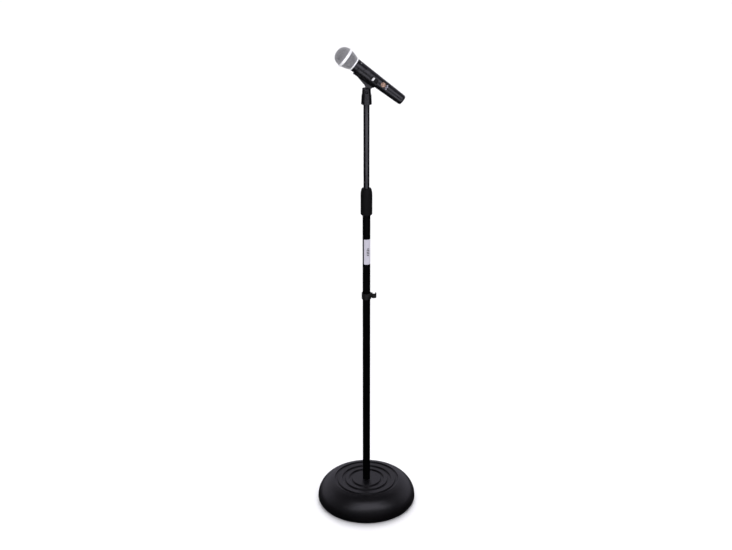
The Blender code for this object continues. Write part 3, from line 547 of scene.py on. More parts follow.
MATERIALS = {
    "base_black": base_finish(),
    "cement": cement_finish(),
    "plate_black": plastic_finish("plate_black", grey(0.015), grey(0.022), 0.6, 0.3),
    "rubber": rubber_finish(),
    "steel": metal_finish("zinc_steel", (0.55, 0.55, 0.56), (0.4, 0.39, 0.37), 0.36),
    "screw_black": metal_finish("black_oxide", (0.035, 0.035, 0.037), grey(0.02), 0.42),
    "screw_bright": metal_finish("bright_zinc", (0.75, 0.75, 0.76), grey(0.55), 0.3, metallic=0.6),
    "brass": metal_finish("turned_brass", (0.78, 0.58, 0.27), (0.5, 0.35, 0.15), 0.3),
    "nylon_white": nylon_finish(),
    "tube_black": paint_finish("tube_black", (0.0008, 0.0008, 0.0009), (0.0016, 0.0015, 0.0018), 0.4, 0.04),
    "tube_grey": paint_finish("tube_grey", (0.0025, 0.0023, 0.0035), (0.0045, 0.0042, 0.006), 0.27, 0.5),
    "label_white": paper_finish(),
    "plastic_black": plastic_finish("plastic_black", grey(0.004), grey(0.0065), 0.5, 0.3),
    "grip_black": plastic_finish("grip_black", grey(0.0022), grey(0.0038), 0.6, 0.12),
    "clip_black": plastic_finish("clip_black", (0.002, 0.002, 0.0025), (0.0038, 0.0037, 0.0045), 0.29, 0.5),
    "mic_black": paint_finish("mic_black", (0.0022, 0.0021, 0.003), (0.004, 0.0038, 0.0055), 0.3, 0.5),
    "badge_copper": badge_finish(),
    "switch_white": thumb_finish(),
    "pin_nickel": metal_finish("nickel_pins", (0.72, 0.7, 0.66), (0.5, 0.48, 0.42), 0.22),
    "band_silver": metal_finish("satin_silver", grey(0.98), grey(0.9), 0.3, (1, 1, 30), 0.3 * MM, 0.25),
    "grille_wire": wire_finish(),
    "foam_black": foam_finish(),
}
PRINT_LIGHT = print_finish("print_light", (0.36, 0.35, 0.41))
PRINT_DARK = print_finish("print_dark", (0.06, 0.06, 0.062))


def add(name, bm, body, slot, place=CENTRED, replaces=(), sharp=40):
    """A piece with the finish of one of the record's material slots."""
    return finish_mesh(name, bm, body, MATERIALS[slot], place, replaces, sharp)


# Base

BASE_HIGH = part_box("base_shell")[1]
BASE_RADIUS = BASE_HIGH.x
BASE_TOP = BASE_HIGH.z
BASE_WIDEST = 10 * MM
BASE_FLAT = 75 * MM
BASE_GROOVES = ((37 * MM, 46 * MM), (55 * MM, 64 * MM), (75 * MM, 84 * MM))
BASE_GROOVE_DEPTH = 3.2 * MM
SHOULDER_POWER = 2.05


def base_shoulder(inset, steps):
    """The rounded side, from the flat top's edge down to the widest line, as (radius, height) points."""
    out = BASE_RADIUS - BASE_FLAT - inset
    rise = BASE_TOP - BASE_WIDEST - inset
    points = []
    for step in range(steps + 1):
        angle = math.pi / 2 * step / steps
        radius = BASE_FLAT + out * math.sin(angle) ** (2 / SHOULDER_POWER)
        height = BASE_WIDEST + rise * max(math.cos(angle), 0) ** (2 / SHOULDER_POWER)
        points.append((radius, height))
    return points


def make_base():
    """The moulded cover: a flat top with three wide grooves, a full shoulder and a rolled lower rim."""
    hole = POLE_RADIUS + 0.3 * MM
    wall = 5 * MM
    soft = 0.5 * MM
    slope = BASE_GROOVE_DEPTH * 0.3
    floor = BASE_TOP - BASE_GROOVE_DEPTH
    corners = [(hole, BASE_TOP, soft)]
    for start, end in BASE_GROOVES:
        corners += [(start, BASE_TOP, soft), (start + slope, floor, soft)]
        corners += [(end - slope, floor, soft), (end, BASE_TOP, soft)]
    edge = BASE_GROOVES[-1][1]
    shoulder = [point for point in base_shoulder(0, 64) if point[0] > edge + 0.8 * MM]
    under = rounded(
        [
            (BASE_RADIUS, BASE_WIDEST, 1.5 * MM),
            (BASE_RADIUS - 1.0 * MM, 5.6 * MM, 0.8 * MM),
            (BASE_RADIUS - 2.4 * MM, 5.2 * MM, 0.5 * MM),
            (BASE_RADIUS - 3.4 * MM, 1.5 * MM, 0.8 * MM),
            (BASE_RADIUS - 5 * MM - wall, 1.5 * MM, 0.8 * MM),
        ],
        4,
        closed=False,
    )
    lining = base_shoulder(wall, 24)[::-1]
    top = rounded(corners + [(*shoulder[0], 0)], 4, closed=False)
    outline = dense(top, 2.5 * MM)[:-1] + shoulder[:-1] + under + lining + [(hole, BASE_TOP - wall)]
    add("base_cover", lathe(outline, 256), "stand", "base_black", replaces=("base_shell",), sharp=60)


def cross_recess(radius, depth, turn):
    """The solid of a cross-head driver, which is cut out of a screw's head."""
    arm = radius * 0.62
    half = radius * 0.14
    quarter = [(arm, -half), (arm, half), (half, half)]
    outline = []
    for spin in range(4):
        cosine, sine = round(math.cos(spin * math.pi / 2)), round(math.sin(spin * math.pi / 2))
        outline += [(x * cosine - y * sine, x * sine + y * cosine) for x, y in quarter]
    wide = [(x, y, depth) for x, y in outline]
    narrow = [(x * 0.6, y * 0.6, -depth) for x, y in outline]
    return loft([narrow, wide], turn)


def cut_recess(screw, radius, depth, turn, place):
    combine(screw, helper_object("driver", cross_recess(radius, depth, turn), place))
    shade(screw)


def make_underside():
    """The bottom plate with its moulded ribs, the rubber ring and the three screws."""
    low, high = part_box("base_bottom_plate")
    radius = high.x
    soft = 0.4 * MM
    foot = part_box("base_foot_ring")[1]
    corners = [(0, high.z, 0), (radius, high.z, soft), (radius, low.z, soft)]
    for ring in (92 * MM, 70 * MM, 48 * MM, 26 * MM):
        corners += [(ring + 1.2 * MM, low.z, soft), (ring + 0.8 * MM, low.z + 1 * MM, soft)]
        corners += [(ring - 0.8 * MM, low.z + 1 * MM, soft), (ring - 1.2 * MM, low.z, soft)]
    corners += [(0, low.z, 0)]
    outline = dense(rounded(corners, 3, closed=False), 4 * MM)
    plate = add("bottom_plate", lathe(outline, 128), "stand", "plate_black", replaces=("base_bottom_plate",))
    for number in range(3):
        node = f"plate_screw_{number + 1}"
        screw_low, screw_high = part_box(node)
        middle = (screw_low + screw_high) / 2
        middle.z = 0
        at = Matrix.Translation(middle)
        combine(plate, helper_object("screw_hole", rod(2.2 * MM, high.z + MM, 0, 32), at))
        head = 3.8 * MM
        outline = rounded(
            [
                (0, screw_high.z, 0),
                (1.9 * MM, screw_high.z - MM, 0),
                (1.9 * MM, 2.5 * MM, 0),
                (head, 2.5 * MM, 0.3 * MM),
                (head - 0.5 * MM, 1.0 * MM, 0.5 * MM),
                (0, 0.9 * MM, 0),
            ],
            5,
            closed=False,
        )
        screw = add(f"plate_screw_head_{number + 1}", lathe(outline, 48), "stand", "screw_black", at, (node,))
        down = Matrix.Translation((0, 0, 0.9 * MM)) @ Matrix.Rotation(math.pi, 4, "X")
        cut_recess(screw, head, 0.8 * MM, down, at)
    shade(plate)
    inner = 100 * MM
    outer = foot.x
    corners = [(inner, foot.z, 0.2 * MM), (inner, 0.5 * MM, 0.5 * MM)]
    ribs = 4
    pitch = (outer - inner) / ribs
    for rib in range(ribs):
        start = inner + rib * pitch
        corners += [(start + 0.25 * pitch, 0, 0.3 * MM), (start + 0.75 * pitch, 0, 0.3 * MM)]
        if rib < ribs - 1:
            corners += [(start + pitch, 0.7 * MM, 0.3 * MM)]
    corners += [(outer, 0.5 * MM, 0.5 * MM), (outer, foot.z, 0.2 * MM)]
    ring = lathe(rounded(corners, 3), 160)
    add("foot_ring", ring, "stand", "rubber", replaces=("base_foot_ring",), sharp=60)


# Pole

def pipe(name, node, body, slot, bore, soft=0.5 * MM, segments=128):
    """A tube with eased ends, in the place of a CAD tube."""
    low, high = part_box(node)
    corners = [(high.x, high.z, soft), (high.x, low.z, soft), (bore, low.z, soft), (bore, high.z, soft)]
    outline = dense(rounded(corners, 4), 12 * MM, closed=True)
    return add(name, lathe(outline, segments), body, slot, replaces=(node,))


LABEL_FACING = math.radians(-70)
LABEL_HALF_WIDTH = 10 * MM
LABEL_THICKNESS = 0.13 * MM
LABEL_BARS = ((-8.4, 2.6), (-4.2, 3.6), (0, 3.6), (4.2, 3.6), (8.4, 2.6))  # level and half length in mm


def make_pole():
    """The two tubes, and the paper label with its printed bars."""
    pipe("lower_pole", "lower_tube", "stand", "tube_black", 8.3 * MM)
    pipe("upper_pole", "upper_tube", "mast", "tube_grey", 6.05 * MM)
    low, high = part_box("tube_label")
    surface = POLE_RADIUS + 0.02 * MM
    half = (high.z - low.z) / 2
    middle = (high.z + low.z) / 2
    sheet = grid_slab(LABEL_HALF_WIDTH, half, 1.6 * MM, LABEL_THICKNESS, 48, 96)
    wrap(sheet, lambda height: surface, LABEL_FACING, middle)
    add("pole_label", sheet, "stand", "label_white", replaces=("tube_label",))
    bars = bmesh.new()
    for level, half_length in LABEL_BARS:
        bar = grid_slab(half_length * MM, 1.2 * MM, 0.3 * MM, 0.05 * MM, 16, 6)
        shift(bar, 0.6 * MM, level * MM)
        wrap(bar, lambda height: surface + 0.12 * MM, LABEL_FACING, middle)
        merge(bars, bar)
    finish_mesh("label_bars", bars, "stand", PRINT_DARK)


def merge(target, source):
    """Copies the geometry of one bmesh into another."""
    mesh = bpy.data.meshes.new("merge")
    source.to_mesh(mesh)
    source.free()
    target.from_mesh(mesh)
    bpy.data.meshes.remove(mesh)
    return target


def open_band(centre, inner, outer, half_opening, steps):
    """The outline of a split ring whose mouth faces +Y."""
    start = math.pi / 2 + half_opening
    end = math.pi / 2 - half_opening + math.tau
    lips = math.radians(1)
    outside = arc(centre, outer, start + lips, end - lips, steps)
    inside = arc(centre, inner, end - lips, start + lips, steps)
    return outside + inside


def make_cable_clip():
    """A split ring that springs onto the pole, with a C-shaped hook for the cable."""
    low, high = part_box("cable_clip")
    middle = (low.z + high.z) / 2
    ring_radius = -low.x
    bore = POLE_RADIUS + 0.3 * MM
    hook_radius = 6.5 * MM
    hook_bore = 3.9 * MM
    hook_centre = high.x - hook_radius
    half = (high.z - low.z) / 2
    at = Matrix.Translation((0, 0, middle))
    outline = open_band((0, 0), bore, ring_radius, math.radians(32), 72)
    ring = slab(outline, -half, half)
    clip = add("cable_clip_ring", ring, "cable_clip", "plastic_black", at, ("cable_clip",))
    hook_outline = open_band((hook_centre, 0), hook_bore, hook_radius, math.radians(52), 48)
    hook = helper_object("hook", slab(hook_outline, -4.6 * MM, 7.1 * MM), at)
    neck_middle = (ring_radius + hook_centre - hook_bore) / 2
    neck_outline = [(x + neck_middle, y) for x, y in rectangle(1.9 * MM, 3 * MM, 0)]
    neck_outline = list(dict.fromkeys(neck_outline))
    neck = helper_object("neck", slab(neck_outline, -4.2 * MM, 6.7 * MM), at)
    combine(clip, hook, neck, operation="UNION")
    add_bevel(clip, 0.45 * MM, 3, 50)
    shade(clip)


def make_clutch():
    """The moulded grip: round shoulders at the top, a fine ring at each end and an eased lower edge."""
    low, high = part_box("clutch_grip")
    radius = high.x
    top_radius = 9.9 * MM
    bush = 9.2 * MM
    shoulder = 18 * MM
    start = high.z - shoulder
    side = arc((0, 0), 1, math.pi / 2, 0, 20)
    dome = [(top_radius + (radius - top_radius) * x, start + shoulder * y) for x, y in side]
    lower = rounded(
        [
            (radius, start - 2 * MM, 0),
            (radius, low.z + 7.2 * MM, 0.2 * MM),
            (radius - 0.35 * MM, low.z + 6.9 * MM, 0.2 * MM),
            (radius - 0.35 * MM, low.z + 6.4 * MM, 0.2 * MM),
            (radius, low.z + 6.1 * MM, 0.2 * MM),
            (radius, low.z + 2.2 * MM, 1.2 * MM),
            (radius - 2 * MM, low.z, 0.6 * MM),
            (10.6 * MM, low.z, 0.5 * MM),
            (10.6 * MM, low.z + 6 * MM, 0),
            (bush, high.z - 8 * MM, 0),
            (bush, high.z, 0.3 * MM),
        ],
        4,
        closed=False,
    )
    outline = dense(dome + lower, 3 * MM, closed=True)
    add("clutch_cover", lathe(outline, 128), "clutch_grip", "grip_black", replaces=("clutch_grip",), sharp=60)


# Clip

SOCKET_LOW, SOCKET_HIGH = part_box("clip_socket")
PIVOT_HOLE = 1.8 * MM


def moulded(piece, voxel, smoothing):
    """Joins the overlapping solids of a piece into one moulding with softly rounded edges."""
    remesh = piece.modifiers.new("remesh", "REMESH")
    remesh.mode = "VOXEL"
    remesh.voxel_size = voxel
    smooth = piece.modifiers.new("smooth", "SMOOTH")
    smooth.factor = 0.5
    smooth.iterations = smoothing
    settle(piece)
    shade(piece, 60)


def make_clip_socket():
    """The tapered socket with its slot for the tongue and the pockets for the pivot screw and nut."""
    pivot = joint("clip_tilt")["pos_m"][2]
    bottom_radius = SOCKET_HIGH.x
    top_radius = 10.6 * MM
    top = SOCKET_HIGH.z
    bottom = SOCKET_LOW.z
    corners = [
        (0, top, 0),
        (top_radius, top, 2.0 * MM),
        (bottom_radius, bottom + 1.5 * MM, 0.6 * MM),
        (bottom_radius, bottom, 0.6 * MM),
        (10.4 * MM, bottom, 0.3 * MM),
        (10.4 * MM, bottom + 18.3 * MM, 0),
        (0, bottom + 18.3 * MM, 0),
    ]
    outline = dense(rounded(corners, 6, closed=False), 1.2 * MM)
    socket = add("clip_cone", lathe(outline, 160), "mast", "clip_black", replaces=("clip_socket",))
    slot_floor = pivot - 7.6 * MM
    pocket_radius = 3.5 * MM
    slot = slab(rectangle(20 * MM, 3.9 * MM, 0.2 * MM), slot_floor, top + 5 * MM)
    sideways = Matrix.Translation((0, 0, pivot)) @ Matrix.Rotation(math.pi / 2, 4, "X")
    pin = rod(PIVOT_HOLE, 8 * MM, -8 * MM)
    pocket = rod(pocket_radius, 14 * MM, 7.6 * MM, 64)
    nut_pocket = slab(hexagon(pocket_radius), -14 * MM, -7.6 * MM)
    combine(
        socket,
        helper_object("slot", slot),
        helper_object("pin", pin, sideways),
        helper_object("pocket", pocket, sideways),
        helper_object("nut_pocket", nut_pocket, sideways),
    )
    moulded(socket, 0.32 * MM, 6)

    outline = rounded(
        [
            (0, 9.7 * MM, 0),
            (3.0 * MM, 9.3 * MM, 1.2 * MM),
            (3.0 * MM, 7.9 * MM, 0.1 * MM),
            (1.5 * MM, 7.9 * MM, 0.1 * MM),
            (1.5 * MM, -9.9 * MM, 0.3 * MM),
            (0, -9.9 * MM, 0),
        ],
        6,
        closed=False,
    )
    screw = add("pivot_screw", lathe(outline, 64), "mast", "screw_black", sideways, ("clip_pivot_screw",))
    cut_recess(screw, 3 * MM, 0.9 * MM, Matrix.Translation((0, 0, 9.5 * MM)), sideways)
    nut = slab(hexagon(3.15 * MM), -9.9 * MM, -7.9 * MM)
    nut = add("pivot_nut", nut, "mast", "screw_black", sideways, ("clip_pivot_nut",))
    combine(nut, helper_object("nut_bore", rod(PIVOT_HOLE, -7 * MM, -11 * MM), sideways))
    add_bevel(nut, 0.2 * MM, 2, 30)
    shade(nut)


def sleeve_slice(height, half_wrap, wall, gap, steps):
    """The outline of the split sleeve at one height along the handle."""
    inner = handle_radius(height) + gap
    start = math.pi - half_wrap
    end = math.pi + half_wrap
    outline = arc((0, 0), inner + wall, start, end, steps) + arc((0, 0), inner, end, start, steps)
    return [(x, y, height) for x, y in outline]


def make_cradle():
    """The split sleeve with its window, a raised front rib, fine side ribs and the flared web below."""
    low, high = measure("clip_cradle", MIC)
    rear = low.z
    front = high.z
    gap = 0.4 * MM
    wall = 2.4 * MM
    half_wrap = math.radians(140)
    rows = 12
    heights = [rear + (front - rear) * row / rows for row in range(rows + 1)]
    sleeve = loft([sleeve_slice(height, half_wrap, wall, gap, 72) for height in heights])
    clip = add("clip_sleeve", sleeve, "clip_cradle", "clip_black", MIC, ("clip_cradle",))

    upright = Matrix(((1, 0, 0, 0), (0, 0, 1, 0), (0, 1, 0, 0), (0, 0, 0, 1)))
    arm = [(3, 60, 0), (3, 39, 3), (9.5, 34.5, 3), (12, 32.5, 2.5), (12, 23.5, 2.5), (9.5, 20.5, 3)]
    arm += [(-2, 13.5, 5), (-3, -12, 0), (40, -12, 0), (40, 60, 0)]
    window = rounded([(x * MM, y * MM, reach * MM) for x, y, reach in arm], 6)
    combine(clip, helper_object("window", slab(window, -30 * MM, 30 * MM, upright), MIC))

    parts = bmesh.new()
    rib_wrap = math.radians(97)
    end_ribs = ((front - 1.1 * MM, 1.1 * MM, 0.9 * MM), (rear + 0.9 * MM, 0.9 * MM, 0.6 * MM))
    for middle, width, rise in end_ribs:
        ends = (middle - width, middle + width)
        loft([sleeve_slice(height, rib_wrap, wall + rise, gap, 60) for height in ends], bm=parts)
    for side in (-1, 1):
        for angle in (232, 222, 212):
            facing = side * math.radians(angle)
            heights = (front - 3 * MM, front - 27 * MM)
            rib = []
            for height in heights:
                base = handle_radius(height) + gap + wall
                half_angle = 0.45 * MM / base
                corners = [(base - MM, -half_angle), (base - MM, half_angle)]
                corners += [(base + 0.45 * MM, half_angle), (base + 0.45 * MM, -half_angle)]
                rib.append([(r * math.cos(facing + a), r * math.sin(facing + a), height) for r, a in corners])
            loft(rib, bm=parts)

    top_front = -handle_radius(front) - gap - 0.4 * MM
    top_rear = -handle_radius(rear) - gap - 0.4 * MM
    half_tongue = 3.55 * MM
    pivot_x = -MIC_OFFSET
    tongue = [(pivot_x + x, z) for x, z in arc((0, 0), 7 * MM, math.radians(318), math.radians(52), 28)]
    web = [(top_rear, rear + 0.5 * MM), (pivot_x + 11 * MM, -4.4 * MM)]
    web += tongue
    web += [(pivot_x + 9.4 * MM, 13 * MM), (pivot_x + 12.4 * MM, 27 * MM), (top_front, front - 3.5 * MM)]
    slab(web, -half_tongue, half_tongue, upright, parts)
    flare = [(top_rear - 0.2 * MM, rear + MM), (top_rear - 1.6 * MM, rear + MM)]
    flare += [(top_front - 1.6 * MM, front - 4 * MM), (top_front - 0.2 * MM, front - 4 * MM)]
    slab(flare, -half_tongue - 1.6 * MM, half_tongue + 1.6 * MM, upright, parts)
    merged = bmesh.new()
    merged.from_mesh(clip.data)
    merge(merged, parts)
    merged.to_mesh(clip.data)
    merged.free()
    moulded(clip, 0.4 * MM, 4)
    bore = rod(PIVOT_HOLE, 6 * MM, -6 * MM)
    across_pivot = MIC @ Matrix.Translation((pivot_x, 0, 0)) @ Matrix.Rotation(math.pi / 2, 4, "X")
    combine(clip, helper_object("tongue_bore", bore, across_pivot))
    shade(clip, 60)


# Microphone

SWITCH_FACING = math.radians(-88)
BADGE_FACING = math.radians(-68)
BADGE_RADIUS = 6 * MM


def middle_of(node):
    """The middle of a CAD node in the microphone's axes."""
    low, high = measure(node, MIC)
    return (low + high) / 2


def make_handle():
    """The tapered die-cast handle, with the switch's window, the badge's seat and the screws' holes."""
    bore = handle_radius(0) - 2.4 * MM
    socket_end = BODY_REAR + 26 * MM
    chamfer = 3.2 * MM
    tail = BODY_REAR + chamfer
    corners = [
        (13.6 * MM, BODY_FRONT, 0.2 * MM),
        (FRONT_RADIUS, BODY_FRONT, 0.35 * MM),
        (handle_radius(tail), tail, 2.6 * MM),
        (10.3 * MM, BODY_REAR, 1.2 * MM),
        (8.3 * MM, BODY_REAR, 0.5 * MM),
        (8.3 * MM, socket_end, 0.2 * MM),
        (bore - 2 * MM, socket_end + 2 * MM, 0),
        (bore, 0, 0),
    ]
    outline = dense(rounded(corners, 7), 1.6 * MM, closed=True)
    handle = add("mic_handle", lathe(outline, 192), "microphone", "mic_black", MIC, ("mic_body",))

    switch_height = middle_of("mic_switch_plate").z
    seat = facing_out(SWITCH_FACING, switch_height)
    surface = handle_radius(switch_height)
    levels = [(6 * MM, 0.0), (surface - 1.0 * MM, 0.0)]
    levels += [(surface + 0.1 * MM, 0.7 * MM), (surface + 4 * MM, 3.4 * MM)]
    window = loft(
        [
            [(x, y, level) for x, y in rectangle(6.5 * MM + grow, 9 * MM + grow, 2 * MM + grow, 6)]
            for level, grow in levels
        ],
        seat,
    )
    badge_height = middle_of("mic_badge").z
    badge_seat = disc_sheet(BADGE_RADIUS + 0.3 * MM, 2.6 * MM, -0.9 * MM, 14, 64)
    wrap(badge_seat, handle_radius, BADGE_FACING, badge_height)
    cutters = [helper_object("window", window, MIC), helper_object("badge_seat", badge_seat, MIC)]
    for node, facing in (("mic_body_screw", -26), ("xlr_screw", 180)):
        height = middle_of(node).z
        level = handle_radius(height)
        floor = level - 1.9 * MM
        profile = [(0, level + MM), (2.5 * MM, level + MM), (1.6 * MM, level - 0.15 * MM)]
        profile += [(1.6 * MM, floor), (0, floor)]
        at = MIC @ facing_out(math.radians(facing), height)
        cutters.append(helper_object("screw_hole", lathe(profile, 40), at))
    combine(handle, *cutters)
    shade(handle, 30)


def disc_sheet(radius, high, low, rings, spokes, profile=None):
    """A flat disc with a fine web of faces, its top lifted by a profile of the distance from its middle."""
    outline = [(0, high if profile is None else profile(0))]
    for ring in range(1, rings + 1):
        distance = radius * ring / rings
        outline.append((distance, high if profile is None else profile(distance)))
    bottom = [(radius * ring / rings, low) for ring in range(rings, 0, -1)] + [(0, low)]
    return lathe(outline + bottom, spokes)


def badge_profile(distance):
    """A raised rim round a slightly dished face with fine turned rings."""
    rim_start = BADGE_RADIUS - 0.9 * MM
    if distance > rim_start:
        share = (distance - rim_start) / (BADGE_RADIUS - rim_start)
        return -0.2 * MM + 0.22 * MM * math.sin(math.pi * min(share + 0.15, 1.0))
    ripple = 0.03 * MM * math.cos(distance / (0.45 * MM) * math.tau)
    return -0.28 * MM + 0.05 * MM * (distance / rim_start) ** 2 + ripple


def make_badge():
    """The badge in its seat, and the four short printed bars behind it."""
    badge = disc_sheet(BADGE_RADIUS, 0, -0.6 * MM, 64, 96, badge_profile)
    wrap(badge, handle_radius, BADGE_FACING, middle_of("mic_badge").z)
    add("badge_disc", badge, "microphone", "badge_copper", MIC, ("mic_badge",))

    marks = bmesh.new()
    behind = middle_of("mic_badge").z - BADGE_RADIUS - 4.4 * MM
    for row, offset in enumerate((-4.6, -1.6, 1.6, 4.6)):
        stagger = 1.5 * MM if row % 2 else 0.0
        mark = grid_slab(0.95 * MM, 1.7 * MM, 0.4 * MM, 0.04 * MM, 8, 12)
        shift(mark, offset * MM, stagger)
        wrap(mark, lambda height: handle_radius(height) + 0.01 * MM, BADGE_FACING, behind)
        merge(marks, mark)
    finish_mesh("handle_marks", marks, "microphone", PRINT_LIGHT, MIC)


def make_switch():
    """The dished switch plate with its slot, and the ridged thumb."""
    low, high = measure("mic_switch_slider", MIC @ facing_out(SWITCH_FACING))
    plate_low, plate_high = measure("mic_switch_plate", MIC @ facing_out(SWITCH_FACING))
    middle = (plate_low.y + plate_high.y) / 2
    half_width = plate_high.x
    half_length = (plate_high.y - plate_low.y) / 2
    seat = facing_out(SWITCH_FACING, middle)
    top = plate_high.z
    levels = [(plate_low.z, 0.0), (top - 0.3 * MM, 0.0), (top, 0.35 * MM)]
    levels += [(top, 0.9 * MM), (top - 0.5 * MM, 1.6 * MM)]
    plate = loft(
        [
            [(x, y, level) for x, y in rectangle(half_width - shrink, half_length - shrink, 1.8 * MM, 5)]
            for level, shrink in levels
        ],
        seat,
    )
    piece = add("switch_plate", plate, "microphone", "plastic_black", MIC, ("mic_switch_plate",))
    slot = slab(rectangle(5.3 * MM, 5.2 * MM, 0.8 * MM), plate_low.z - MM, top + MM, seat)
    combine(piece, helper_object("slot", slot, MIC))
    shade(piece)

    thumb_middle = (low.y + high.y) / 2
    thumb_seat = facing_out(SWITCH_FACING, thumb_middle)
    half_thumb = (high.y - low.y) / 2
    ridges = 3
    crest = high.z
    side = [(-half_thumb, low.z, 0), (-half_thumb, crest - 0.5 * MM, 0.5 * MM)]
    pitch = 2 * (half_thumb - 0.5 * MM) / ridges
    for ridge in range(ridges):
        start = -half_thumb + 0.5 * MM + ridge * pitch
        side += [(start + 0.25 * pitch, crest, 0.3 * MM), (start + 0.75 * pitch, crest, 0.3 * MM)]
        if ridge < ridges - 1:
            side += [(start + pitch, crest - 0.6 * MM, 0.25 * MM)]
    side += [(half_thumb, crest - 0.5 * MM, 0.5 * MM), (half_thumb, low.z, 0)]
    outline = rounded(side, 4)
    turned = thumb_seat @ Matrix(((0, 0, 1, 0), (1, 0, 0, 0), (0, 1, 0, 0), (0, 0, 0, 1)))
    shares = (-1.0, -0.96, -0.85, -0.3, 0.3, 0.85, 0.96, 1.0)
    drops = (0.55, 0.2, 0.0, 0.0, 0.0, 0.0, 0.2, 0.55)
    slices = []
    for share, drop in zip(shares, drops):
        slices.append([(y, z - drop * MM * (z > low.z + 0.1 * MM), share * high.x) for y, z in outline])
    thumb = loft(slices, turned)
    add("switch_thumb", thumb, "mic_switch", "switch_white", MIC, ("mic_switch_slider",))


def make_set_screw(name, node, facing):
    """A small screw whose head sits just below the handle's surface."""
    height = middle_of(node).z
    level = handle_radius(height)
    radius = 1.45 * MM
    outline = rounded(
        [
            (0, level + 0.02 * MM, 0),
            (radius, level - 0.15 * MM, 0.5 * MM),
            (radius, level - 1.6 * MM, 0.1 * MM),
            (0, level - 1.6 * MM, 0),
        ],
        6,
        closed=False,
    )
    seat = facing_out(math.radians(facing), height)
    bm = lathe(outline, 48)
    bmesh.ops.transform(bm, matrix=seat, verts=bm.verts)
    screw = add(name, bm, "microphone", "screw_bright", MIC, (node,))
    cut_recess(screw, radius * 0.8, 0.4 * MM, seat @ Matrix.Translation((0, 0, level)), MIC)


def make_rings():
    """The bright collar behind the grille and the band round its widest line."""
    low, high = measure("mic_grille_collar", MIC)
    radius = high.y
    bore = 12.6 * MM
    corners = [
        (bore, low.z, 0.2 * MM),
        (radius - 0.35 * MM, low.z, 0.25 * MM),
        (radius, low.z + 0.8 * MM, 0.5 * MM),
        (radius, high.z - 0.9 * MM, 0.5 * MM),
        (radius - 0.45 * MM, high.z, 0.3 * MM),
        (bore, high.z, 0.2 * MM),
    ]
    outline = dense(rounded(corners, 5), 0.8 * MM, closed=True)
    collar = lathe(outline, 192)
    add("grille_collar", collar, "microphone", "band_silver", MIC, ("mic_grille_collar",), sharp=50)

    low, high = measure("mic_grille_band", MIC)
    radius = high.y
    inner = GRILLE_RADIUS + 0.2 * MM
    lip = 0.45 * MM
    corners = [
        (inner - 0.5 * MM, low.z - 0.1 * MM, 0.1 * MM),
        (radius - 0.45 * MM, low.z, 0.3 * MM),
        (radius - 0.1 * MM, low.z + lip, 0.25 * MM),
        (radius - 0.25 * MM, low.z + 2 * lip, 0.2 * MM),
        (radius, (low.z + high.z) / 2, 1.4 * MM),
        (radius - 0.25 * MM, high.z - 2 * lip, 0.2 * MM),
        (radius - 0.1 * MM, high.z - lip, 0.25 * MM),
        (radius - 0.45 * MM, high.z, 0.3 * MM),
        (inner - 0.3 * MM, high.z, 0.1 * MM),
        (inner - 0.1 * MM, (low.z + high.z) / 2, 0.1 * MM),
    ]
    outline = dense(rounded(corners, 5), 0.8 * MM, closed=True)
    add("grille_band", lathe(outline, 224), "microphone", "band_silver", MIC, ("mic_grille_band",), sharp=50)


FRONT_LOW, FRONT_HIGH = measure("mic_grille_front", MIC)
REAR_LOW, REAR_HIGH = measure("mic_grille_rear", MIC)
GRILLE_RADIUS = FRONT_HIGH.y
BAND_MIDDLE = (FRONT_LOW.z + REAR_HIGH.z) / 2
GRILLE_TIP = FRONT_HIGH.z
REAR_END = REAR_LOW.z
DOME_POWER = 2.3
REAR_RADIUS = 16.2 * MM
REAR_BULGE = 0.9 * MM
WIRE_RADIUS = 0.2 * MM
WIRE_PITCH = 1.2 * MM


def dome_point(angle, inset=0.0):
    """(radius, height) on the grille's front at an angle from its tip."""
    radius = (GRILLE_RADIUS - inset) * math.sin(angle) ** (2 / DOME_POWER)
    rise = GRILLE_TIP - BAND_MIDDLE - inset
    return radius, BAND_MIDDLE + rise * max(math.cos(angle), 0) ** (2 / DOME_POWER)


def rear_point(share, inset=0.0):
    """(radius, height) on the grille's rear part, from the band at 0 to the collar at 1."""
    height = BAND_MIDDLE + (REAR_END - 0.2 * MM - BAND_MIDDLE) * share
    radius = GRILLE_RADIUS + (REAR_RADIUS - GRILLE_RADIUS) * share
    return radius + REAR_BULGE * math.sin(math.pi * share) - inset, height


class Meridian:
    """A curve from the axis outwards, measured by its length, with the outward normal at each place."""

    def __init__(self, points):
        self.points = points
        self.lengths = [0.0]
        for start, end in zip(points, points[1:]):
            self.lengths.append(self.lengths[-1] + math.dist(start, end))
        self.total = self.lengths[-1]

    def at(self, length):
        """(radius, height, normal outwards, normal upwards) at a length from the start."""
        length = min(max(length, 0.0), self.total)
        low, high = 0, len(self.lengths) - 1
        while high - low > 1:
            middle = (low + high) // 2
            if self.lengths[middle] > length:
                high = middle
            else:
                low = middle
        start, end = self.points[low], self.points[high]
        share = (length - self.lengths[low]) / (self.lengths[high] - self.lengths[low])
        run = (end[0] - start[0], end[1] - start[1])
        size = math.hypot(*run)
        return start[0] + run[0] * share, start[1] + run[1] * share, -run[1] / size, run[0] / size


